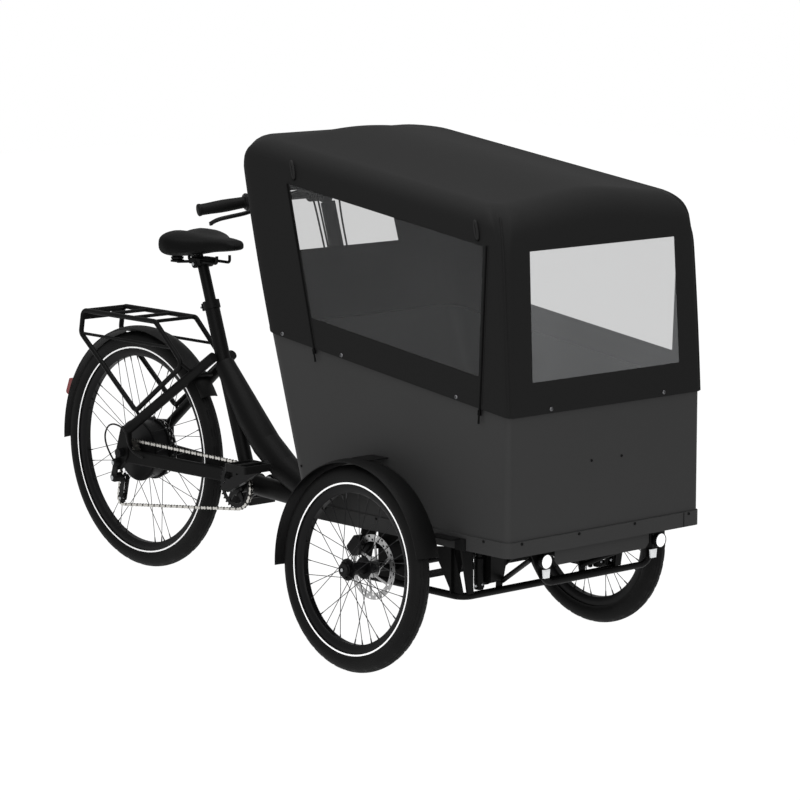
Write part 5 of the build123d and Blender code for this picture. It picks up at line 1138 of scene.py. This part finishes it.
# Columns: share of the damper's radius, height above the loop tube
DAMPER_PROFILE = (
    (0.4, 0.0),
    (1.0, 0.002),
    (1.0, 0.078),
    (0.72, 0.082),
    (0.72, 0.110),
    (1.1, 0.112),
    (1.1, 0.126),
)
STRUT_FOOT = Vector((axle_x + 0.233, 0.135, 0.222))
STRUT_TOP = Vector((axle_x + 0.412, 0.215, 0.312))
STRUT_RADIUS = 0.0065
# Columns: distance ahead, distance out, height, head radius
DAMPER_BOLTS = ((0.2405, 0.232, 0.224, 0.0040), (0.2345, 0.204, 0.222, 0.0034))
DAMPER_BOLT_HEIGHT = 0.0025


def button(bm, place, radius, height, material=0):
    """Adds a low round head with a socket."""
    # Columns: share of the radius, share of the height
    shares = ((1.0, 0.0), (1.0, 0.35), (0.8, 0.8), (0.5, 1.0), (0.42, 0.45))
    rows = [(radius * out, height * up, material) for out, up in shares]
    turned(bm, rows + [(TIP, height * 0.45, material)], place, 16)


def out_of(x, y, z, way):
    """A place on the bike's surface with z pointing out of it."""
    return Matrix.Translation((axle_x + x, y, z)) @ Vector(way).to_track_quat("Z", "Y").to_matrix().to_4x4()


bm = bmesh.new()
for side in (-1, 1):
    plate(bm, GUSSET, -GUSSET_HALF, GUSSET_HALF, sideways(axle_x, side * LOOP_OUT, 0))
    for outline, ahead, thick in CROSS_PLATES:
        mirrored = [(-side * y, z) for y, z in outline]
        plate(bm, mirrored if side < 0 else mirrored[::-1], 0.0, thick, ahead_facing(ahead))
    for out, ahead, radius in DAMPERS:
        rows = [(radius * share, height) for share, height in DAMPER_PROFILE]
        rows.append((TIP, rows[-1][1]))
        turned(bm, rows, Matrix.Translation((axle_x + ahead, side * out, LOOP_TOP)), 20)
    rod(bm, on_side(STRUT_FOOT, side), on_side(STRUT_TOP, side), STRUT_RADIUS, 12)
    plate(bm, CONTROL_CASE, *sorted(-side * out for out in CASE_SIDES), sideways(axle_x, 0, 0), 1)
    for ahead, out, height, radius in DAMPER_BOLTS:
        button(bm, out_of(ahead, side * out, height, (1, 0, 0)), radius, DAMPER_BOLT_HEIGHT, 2)
piece("front_undercarriage", bm, [coated_steel, plastic, zinc], "front_carriage", "frame_paint")

# Box screws: black button heads that hold the base trim on all round, two more in the front panel
# and one low at the back of each side. A thin upright rib marks the trim's seam at the front left.
SCREW_COUNT = 4
SCREW_SPACING = 0.19
SCREW_HEIGHT = 0.3645
SCREW_HEAD = 0.0022
TRIM_SCREW_RADIUS = 0.0038
PANEL_SCREW_RADIUS = 0.0034
TRIM_FRONT = 0.4543
TRIM_SIDE = 0.3292
FIRST_SIDE_SCREW = 0.37
TRIM_SEAM = Vector((axle_x + 0.4541, 0.2677, 0.3335))
TRIM_SEAM_TOP = 0.3698
TRIM_SEAM_RADIUS = 0.0012
# Columns: x, y and z of the face, way it points, head radius
screws = []
for index in range(SCREW_COUNT):
    across = (index - (SCREW_COUNT - 1) / 2) * SCREW_SPACING
    screws.append((TRIM_FRONT, across, SCREW_HEIGHT, (1, 0, 0), TRIM_SCREW_RADIUS))
    for side in (-1, 1):
        along = FIRST_SIDE_SCREW - index * SCREW_SPACING
        screws.append((along, side * TRIM_SIDE, SCREW_HEIGHT, (0, side, 0), TRIM_SCREW_RADIUS))
for side in (-1, 1):
    screws.append((0.4502, side * 0.051, 0.536, (1, 0, 0), PANEL_SCREW_RADIUS))
    screws.append((-0.2946, side * 0.3252, 0.4576, (0, side, 0), PANEL_SCREW_RADIUS))

bm = bmesh.new()
for x, y, z, way, radius in screws:
    button(bm, out_of(x, y, z, way), radius, SCREW_HEAD)
rod(bm, TRIM_SEAM, (TRIM_SEAM.x, TRIM_SEAM.y, TRIM_SEAM_TOP), TRIM_SEAM_RADIUS, 4)
piece("box_screws", bm, [coated_steel], "front_carriage", "frame_paint")

# Lamps: small white discs in black moulded cups, screwed to the ends of the lamp bar.
# Each stands over a prismatic reflector clipped in a thin black tray.
LAMP_AHEAD = 0.4283
LAMP_RADIUS = 0.018
LAMP_OUT = 0.195
LAMP_HEIGHT = 0.309
LAMP_STEPS = 40
REFLECTOR_OUT = 0.183
REFLECTOR_HEIGHT = 0.276
# Columns: half width at the foot, half width at the top, half height, low and high face, material
REFLECTOR_LAYERS = (
    (0.0105, 0.0130, 0.012, 0.0, 0.002, 1),
    (0.0092, 0.0116, 0.0105, 0.0018, 0.006, 0),
)

# Clear polycarbonate: white and softly lit, with shallow upright flutes that spread the light
flutes = ("Wave", 60.0, 2, 0.08, 0.0004)
lens = surface("clear_polycarbonate_lens", "#f6f6f6", 0.18, flutes, glow=("#ffffff", 0.45), bands="Y")
bm = bmesh.new()
for side in (-1, 1):
    # Columns: radius, height, material
    cup = [(0.006, 0.0), (0.013, 0.001), (0.0172, 0.007), (LAMP_RADIUS, 0.0165), (LAMP_RADIUS, 0.0195)]
    cup += [(0.0168, 0.0198), (0.0166, 0.0180, 1), (0.0120, 0.0192, 1), (0.006, 0.0198, 1), (TIP, 0.0200, 1)]
    turned(bm, cup, out_of(LAMP_AHEAD, side * LAMP_OUT, LAMP_HEIGHT, (1, 0, 0)), LAMP_STEPS)
piece("lamps_lensed", bm, [plastic, lens], "front_carriage", "lamp_lens", "lamps")

# Prismatic acrylic: a pale grey-white with tiny corner cubes behind a clear face, and a faint painted glow
# from its emission that stands in for the flash of light they send back
cubes = ("Voronoi", 420.0, 0, 0.3, 0.0008)
prism = surface("prismatic_acrylic_painted_glow", "#d8dadb", 0.2, cubes, glow=("#dcdcdc", 0.12))
bm = bmesh.new()
for side in (-1, 1):
    place = ahead_facing(LAMP_AHEAD, side * REFLECTOR_OUT, REFLECTOR_HEIGHT)
    for foot, top, tall, low, high, material in REFLECTOR_LAYERS:
        plate(bm, [(-foot, -tall), (foot, -tall), (top, tall), (-top, tall)], low, high, place, material)
piece("reflectors_prismatic", bm, [prism, plastic], "front_carriage", "reflector_lens", "reflectors")

# Tail light: a red acrylic lens moulded in one with its base, screwed to the rear mudguard.
# Red acrylic: deep and clear, with the same corner cubes behind it and a very faint glow
cubes = ("Voronoi", 420.0, 0, 0.3, 0.0006)
red_lens = surface("red_acrylic_lens", "#6a100e", 0.22, cubes, glow=("#a01a14", 0.04))
dress(red_lens, "tail_lens", "tail_light")

# Handlebar grips: soft black rubber sleeves, thicker where the palm rests, with fine rings.
# Each has a flange at its inner end and is pushed on to the bar.
BAR_AHEAD = -0.6119
BAR_HEIGHT = 1.095
BAR_STRAIGHT = 0.140
BAR_HALF = 0.330
BAR_SWEEP = 0.078
BAR_FALL = 0.027
GRIP_LENGTH = 0.130
GRIP_RINGS = 26
GRIP_RING_DEPTH = 0.0005
GRIP_RADIUS = 0.0150
GRIP_SWELL = 0.0016
RINGED_START = 0.008
RINGED_LENGTH = 0.112
CLAMP_GAP = 0.013
# Columns: radius, height along the bar
GRIP_FLANGE = ((0.0112, 0.0), (0.0180, 0.0003), (0.0180, 0.004), (0.0165, 0.006))
GRIP_END = ((0.0160, 0.124), (0.0162, 0.129), (0.0140, 0.1310), (0.006, 0.1315), (TIP, 0.1315))
bar_x = axle_x + BAR_AHEAD
grip_run = Vector((-BAR_SWEEP, BAR_HALF - BAR_STRAIGHT, -BAR_FALL)).normalized()
bar_end = Vector((bar_x - BAR_SWEEP, BAR_HALF, BAR_HEIGHT - BAR_FALL))
lever_clamp = bar_end - grip_run * (GRIP_LENGTH + CLAMP_GAP)


def along_way(spot, way):
    """A place whose z runs along a direction."""
    return Matrix.Translation(spot) @ way.to_track_quat("Z", "Y").to_matrix().to_4x4()


# Moulded grip rubber: the deepest black of the bike, dry and without a sharp highlight
grip_grain = ("Noise", 700.0, 2, 0.25, 0.0003)
grip_rubber = surface("moulded_grip_rubber", "#080808", 0.66, grip_grain, specular=0.12)
bm = bmesh.new()
for side in (-1, 1):
    end, run = on_side(bar_end, side), on_side(grip_run, side)
    rows = list(GRIP_FLANGE)
    for ring in range(GRIP_RINGS):
        share = ring / (GRIP_RINGS - 1)
        height = RINGED_START + RINGED_LENGTH * share
        swell = GRIP_RADIUS + GRIP_SWELL * math.sin(math.pi * min(1.0, share * 1.05)) ** 2
        rows += [(swell, height), (swell - GRIP_RING_DEPTH, height + 0.002)]
    turned(bm, rows + list(GRIP_END), along_way(end - run * GRIP_LENGTH, run), 28)
piece("grips_ringed", bm, [grip_rubber], "front_carriage", "grip_rubber", "grips", sharp=60)

# Brake levers: forged black blades on band clamps, each curving out under its grip to a rolled tip.
# A moulded collar stands between each clamp and its grip.
LEVER_STEPS = 8
LEVER_RADIUS = 0.0056
COLLAR_OUT = 0.0075
PIVOT_START = Vector((0.008, 0, 0.002))
PIVOT_END = Vector((0.034, 0, -0.004))
PIVOT_RADII = (0.0085, 0.0065)
TIP_ROLL = (-0.004, 0.003)
TIP_ROLL_RADIUS = 0.0055
# Columns: distance out along the grip from the clamp, distance ahead of the bar, rise
LEVER_ROUTE = (
    (-0.002, 0.010, -0.004),
    (0.004, 0.036, -0.014),
    (0.040, 0.042, -0.021),
    (0.085, 0.040, -0.023),
    (0.120, 0.036, -0.026),
    (0.130, 0.031, -0.034),
)
# Columns: radius, height along the bar
LEVER_BAND = ((0.0115, -0.007), (0.0158, -0.0065), (0.0158, 0.0065), (0.0115, 0.007))
LEVER_COLLAR = ((0.0115, 0.0), (0.0215, 0.001), (0.0230, 0.006), (0.0200, 0.0115), (0.0115, 0.012))


def tube(bm, points, radius, up, sides=8, closed=False, material=0):
    """Adds a round tube along points that lie close together."""
    rings = []
    for index, point in enumerate(points):
        before = points[index - 1] if closed or index else point
        after = points[(index + 1) % len(points)] if closed or index + 1 < len(points) else point
        along = (after - before).normalized()
        rings.append(ring_across(bm, point, radius, along, along.cross(up).normalized(), sides))
    if closed:
        rings.append(rings[0])
    else:
        cap_ends(bm, rings[0], rings[-1], material)
    for first, second in zip(rings, rings[1:]):
        skin(bm, first, second, material)


def bends(points):
    """Start, corner and end of each bend of the smooth curve that a route's corners pull."""
    ends = [points[0]] + [(a + b) / 2 for a, b in zip(points[1:-2], points[2:-1])] + [points[-1]]
    return list(zip(ends, points[1:-1], ends[1:]))


bm = bmesh.new()
for side in (-1, 1):
    clamp, run = on_side(lever_clamp, side), on_side(grip_run, side)
    route = [clamp + run * out + Vector((ahead, 0, rise)) for out, ahead, rise in LEVER_ROUTE]
    blade = []
    for begin, corner, end in bends(route):
        for step in range(LEVER_STEPS):
            t = step / LEVER_STEPS
            blade.append(begin * (1 - t) ** 2 + corner * 2 * t * (1 - t) + end * t * t)
    tip = route[-1]
    tube(bm, blade + [tip], LEVER_RADIUS, Vector((0, 0, 1)), 10)
    turned(bm, LEVER_BAND, along_way(clamp, run), 24)
    turned(bm, LEVER_COLLAR, along_way(clamp + run * COLLAR_OUT, run), 24)
    rod(bm, clamp + PIVOT_START, clamp + PIVOT_END, PIVOT_RADII[0], 10, PIVOT_RADII[1])
    rod(bm, *[tip + run * out for out in TIP_ROLL], TIP_ROLL_RADIUS, 10)
piece("brake_levers_curved", bm, [anodised], "front_carriage", "black_plastic", "brake_levers")

# Control cables: black PVC sheath over coiled steel, looping free from the levers to the box wall.
# The gear cable makes one small loop from the chain stay's end to the derailleur.
CABLE_DIAMETER = 0.005
COLUMN_BEHIND_WALL = 0.045
COLUMN_CLEARANCE = 0.008
WALL_FOOT = -0.298
WALL_ENTRY = 0.768
WALL_GAP = 0.0026
ALONG_COLUMN = (BAR_HEIGHT - 0.020, BAR_HEIGHT - 0.290)

# Extruded PVC: smooth black with a soft line of light along it
sheath_wear = (260.0, 2, 0.36, 0.5)
sheath = surface("extruded_pvc_sheath", "#0b0b0b", 0.42, specular=0.15, patches=sheath_wear)


def cable(name, points, body, replaced=None):
    """A sheathed cable that bends smoothly along a route."""
    curve = bpy.data.curves.new(name, "CURVE")
    curve.dimensions = "3D"
    curve.bevel_depth = CABLE_DIAMETER / 2
    curve.bevel_resolution = 3
    curve.use_fill_caps = True
    spline = curve.splines.new("NURBS")
    spline.points.add(len(points) - 1)
    for place, spot in zip(spline.points, points):
        place.co = (*spot, 1.0)
    spline.order_u = 3
    spline.use_endpoint_u = True
    spline.resolution_u = 8
    curve.materials.append(sheath)
    made = add(name, curve)
    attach(made, body)
    if replaced:
        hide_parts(replaced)


def wall_x(z):
    """Outer face of the box's back wall."""
    return axle_x + WALL_FOOT - REAR_LEAN * (z - BOX_FOOT)


def beside_column(z):
    return wall_x(z) - COLUMN_BEHIND_WALL + COLUMN_CLEARANCE


# Columns: name, sign of y, start inward of the clamp, start above it, loop height,
# distance from the column, node that it replaces
CABLES = (
    ("brake_cable_right", -1, 0.0, 0.009, 0.047, 0.032, "control_cables"),
    ("gear_cable_front", -1, 0.034, -0.003, 0.022, 0.045, None),
    ("brake_cable_left", 1, 0.0, 0.009, 0.040, 0.032, None),
)
for name, sign, inward, start_rise, loop_rise, beside, replaced in CABLES:
    start = lever_clamp - grip_run * inward
    high, low = ALONG_COLUMN
    route = [
        Vector((start.x + 0.0185, start.y, start.z + start_rise)),
        Vector((bar_x + 0.034, 0.118, BAR_HEIGHT + 0.55 * loop_rise)),
        Vector((bar_x + 0.042, beside + 0.016, BAR_HEIGHT + loop_rise)),
        Vector((beside_column(BAR_HEIGHT), beside, high)),
        Vector((beside_column(low), beside, low)),
        Vector((wall_x(WALL_ENTRY) - WALL_GAP, beside, WALL_ENTRY)),
    ]
    cable(name, [on_side(point, sign) for point in route], "front_carriage", replaced)
# Columns: distance ahead of the rear axle, distance out from the middle, rise above the axle
GEAR_LOOP = (
    (0.085, 0.0757, -0.006),
    (0.052, 0.098, 0.008),
    (0.044, 0.100, 0.074),
    (-0.036, 0.100, 0.084),
    (-0.062, 0.100, 0.022),
    (-0.022, 0.091, -0.0276),
)
route = [Vector((rear_x + ahead, -out, rear_z + rise)) for ahead, out, rise in GEAR_LOOP]
cable("gear_cable_rear", route, "rear_frame", "shift_cable")

# Zips: black nylon coils on woven tape that let the side doors open, each with a slider and a pull.
# The coil's turns are drawn 3 mm apart, twice the real pitch, so that they show as a dark rib.
TEETH_PITCH = 0.003
ZIP_TAPE_HALF = 0.006
ZIP_STANDOFF = 0.0002
TOOTH_HALF_LENGTH = 0.0011
TOOTH_HALF_WIDTH = 0.0024
SLIDER = ((0.000, -0.0045), (0.013, -0.0036), (0.013, 0.0036), (0.000, 0.0045))
PULL = ((-0.020, -0.0028), (0.004, -0.0018), (0.004, 0.0018), (-0.020, 0.0028))
# Low and high face of each layer, out from the cloth
TAPE_FACES = (-0.0004, 0.0006)
TEETH_FACES = (0.0004, 0.0022)
SLIDER_FACES = (0.0005, 0.0046)
PULL_FACES = (0.0030, 0.0048)
# Columns: low x and z, high x and z
ZIPS = ((0.3565, 0.664, 0.3775, 1.066), (-0.235, 0.747, -0.3385, 1.163))

# Black nylon: darker than the cloth round it, so that the closed coil reads as a line
nylon_grain = ("Noise", 800.0, 1, 0.2, 0.0003)
zip_nylon = surface("black_nylon_zip", "#040404", 0.6, nylon_grain, specular=0.05)


def strip(start, end, half):
    """Corners of a straight strip along x."""
    return [(start, -half), (end, -half), (end, half), (start, half)]


bm = bmesh.new()
for side in (-1, 1):
    for low_x, low_z, high_x, high_z in ZIPS:
        y = side * (CANOPY_HALF + ZIP_STANDOFF)
        low, high = Vector((axle_x + low_x, y, low_z)), Vector((axle_x + high_x, y, high_z))
        up, out = (high - low).normalized(), Vector((0, side, 0))
        place = Matrix.Translation(low) @ Matrix((up, out.cross(up), out)).transposed().to_4x4()
        length = (high - low).length
        plate(bm, strip(0.0, length, ZIP_TAPE_HALF), *TAPE_FACES, place, 1)
        for tooth in range(int(length / TEETH_PITCH)):
            x = TEETH_PITCH * (tooth + 0.5)
            block = strip(x - TOOTH_HALF_LENGTH, x + TOOTH_HALF_LENGTH, TOOTH_HALF_WIDTH)
            plate(bm, block, *TEETH_FACES, place)
        plate(bm, SLIDER, *SLIDER_FACES, place)
        plate(bm, PULL, *PULL_FACES, place)
piece("door_zips", bm, [zip_nylon, cloth], "front_carriage", "canopy_cloth")

# Piping: a cloth-covered cord sewn into each front corner seam.
# It stiffens the corner from the hem to the shoulder of the roof.
PIPING_RADIUS = 0.0030
PIPING_ROWS = 20
PIPING_ROLL_STEP = 8.0
PIPING_ROLL_ROWS = 7
bm = bmesh.new()
for corner in (CORNER_STEPS // 2, CORNER_STEPS // 2 + CORNER_STEPS + END_STEPS):
    seam = [canopy_loop(0.0, row / PIPING_ROWS)[corner] for row in range(PIPING_ROWS + 1)]
    for row in range(1, PIPING_ROLL_ROWS + 1):
        seam.append(canopy_loop(math.radians(PIPING_ROLL_STEP * row), 1.0)[corner])
    tube(bm, seam, PIPING_RADIUS, Vector((0, 1, 0)))
piece("canopy_piping", bm, [cloth], "front_carriage", "canopy_cloth")

# Canopy fittings: toggle loops of braided cord above the zips, each sewn under a nylon button,
# hold a rolled-up door. Plated snaps pin the hem to the box.
LOOP_STEPS = 20
LOOP_HALF = 0.0040
LOOP_TALL = 0.021
LOOP_LEAN = 0.005
LOOP_CORD = 0.0031
LOOP_STANDOFF = 0.0036
TOGGLE_AHEAD = 0.003
TOGGLE_RADIUS = 0.0050
TOGGLE_HEIGHT = 0.0042
SNAP_RADIUS = 0.0052
SNAP_HEIGHT = 0.0030
SNAP_ABOVE_HEM = 0.0075
# Columns: x, z of each loop's middle
LOOPS = ((0.3445, 1.100), (-0.3145, 1.196))
SIDE_SNAPS = (-0.36, -0.137, 0.274)
# Columns: x, y and z of each snap and the way that it faces
snaps = [(0.4541, side * 0.1915, 0.676, (1, 0, 0)) for side in (-1, 1)]
for side in (-1, 1):
    for x in SIDE_SNAPS:
        snaps.append((x, side * CANOPY_HALF, hem_height(axle_x + x) + SNAP_ABOVE_HEM, (0, side, 0)))

# Black nickel: a dull dark glint on the snaps
black_nickel = surface("black_nickel_snap", "#6a6a6c", 0.45, metallic=1.0, patches=(300.0, 2, 0.38, 0.55))
# Braided cord: a grey a little paler than the cloth, with slanting strands
strands = ("Wave", 160.0, 2, 0.3, 0.0003)
braid = surface("braided_polyester_cord", "#171717", 0.7, strands, specular=0.2, bands="DIAGONAL")
bm = bmesh.new()
for side in (-1, 1):
    for x, z in LOOPS:
        ring = []
        for step in range(LOOP_STEPS):
            wide, rise = polar(1.0, 2 * math.pi * step / LOOP_STEPS)
            ahead = LOOP_HALF * wide - LOOP_LEAN * rise
            y = side * (CANOPY_HALF + LOOP_STANDOFF)
            ring.append(Vector((axle_x + x + ahead, y, z + LOOP_TALL * rise)))
        tube(bm, ring, LOOP_CORD, Vector((0, 1, 0)), closed=True, material=2)
        foot = Vector((axle_x + x + TOGGLE_AHEAD, side * (CANOPY_HALF + ZIP_STANDOFF), z - LOOP_TALL))
        rod(bm, foot, foot + Vector((0, side * TOGGLE_HEIGHT, 0)), TOGGLE_RADIUS, 10)
for x, y, z, way in snaps:
    button(bm, out_of(x, y, z, way), SNAP_RADIUS, SNAP_HEIGHT, 1)
piece("canopy_fittings", bm, [zip_nylon, black_nickel, braid], "front_carriage", "canopy_cloth")
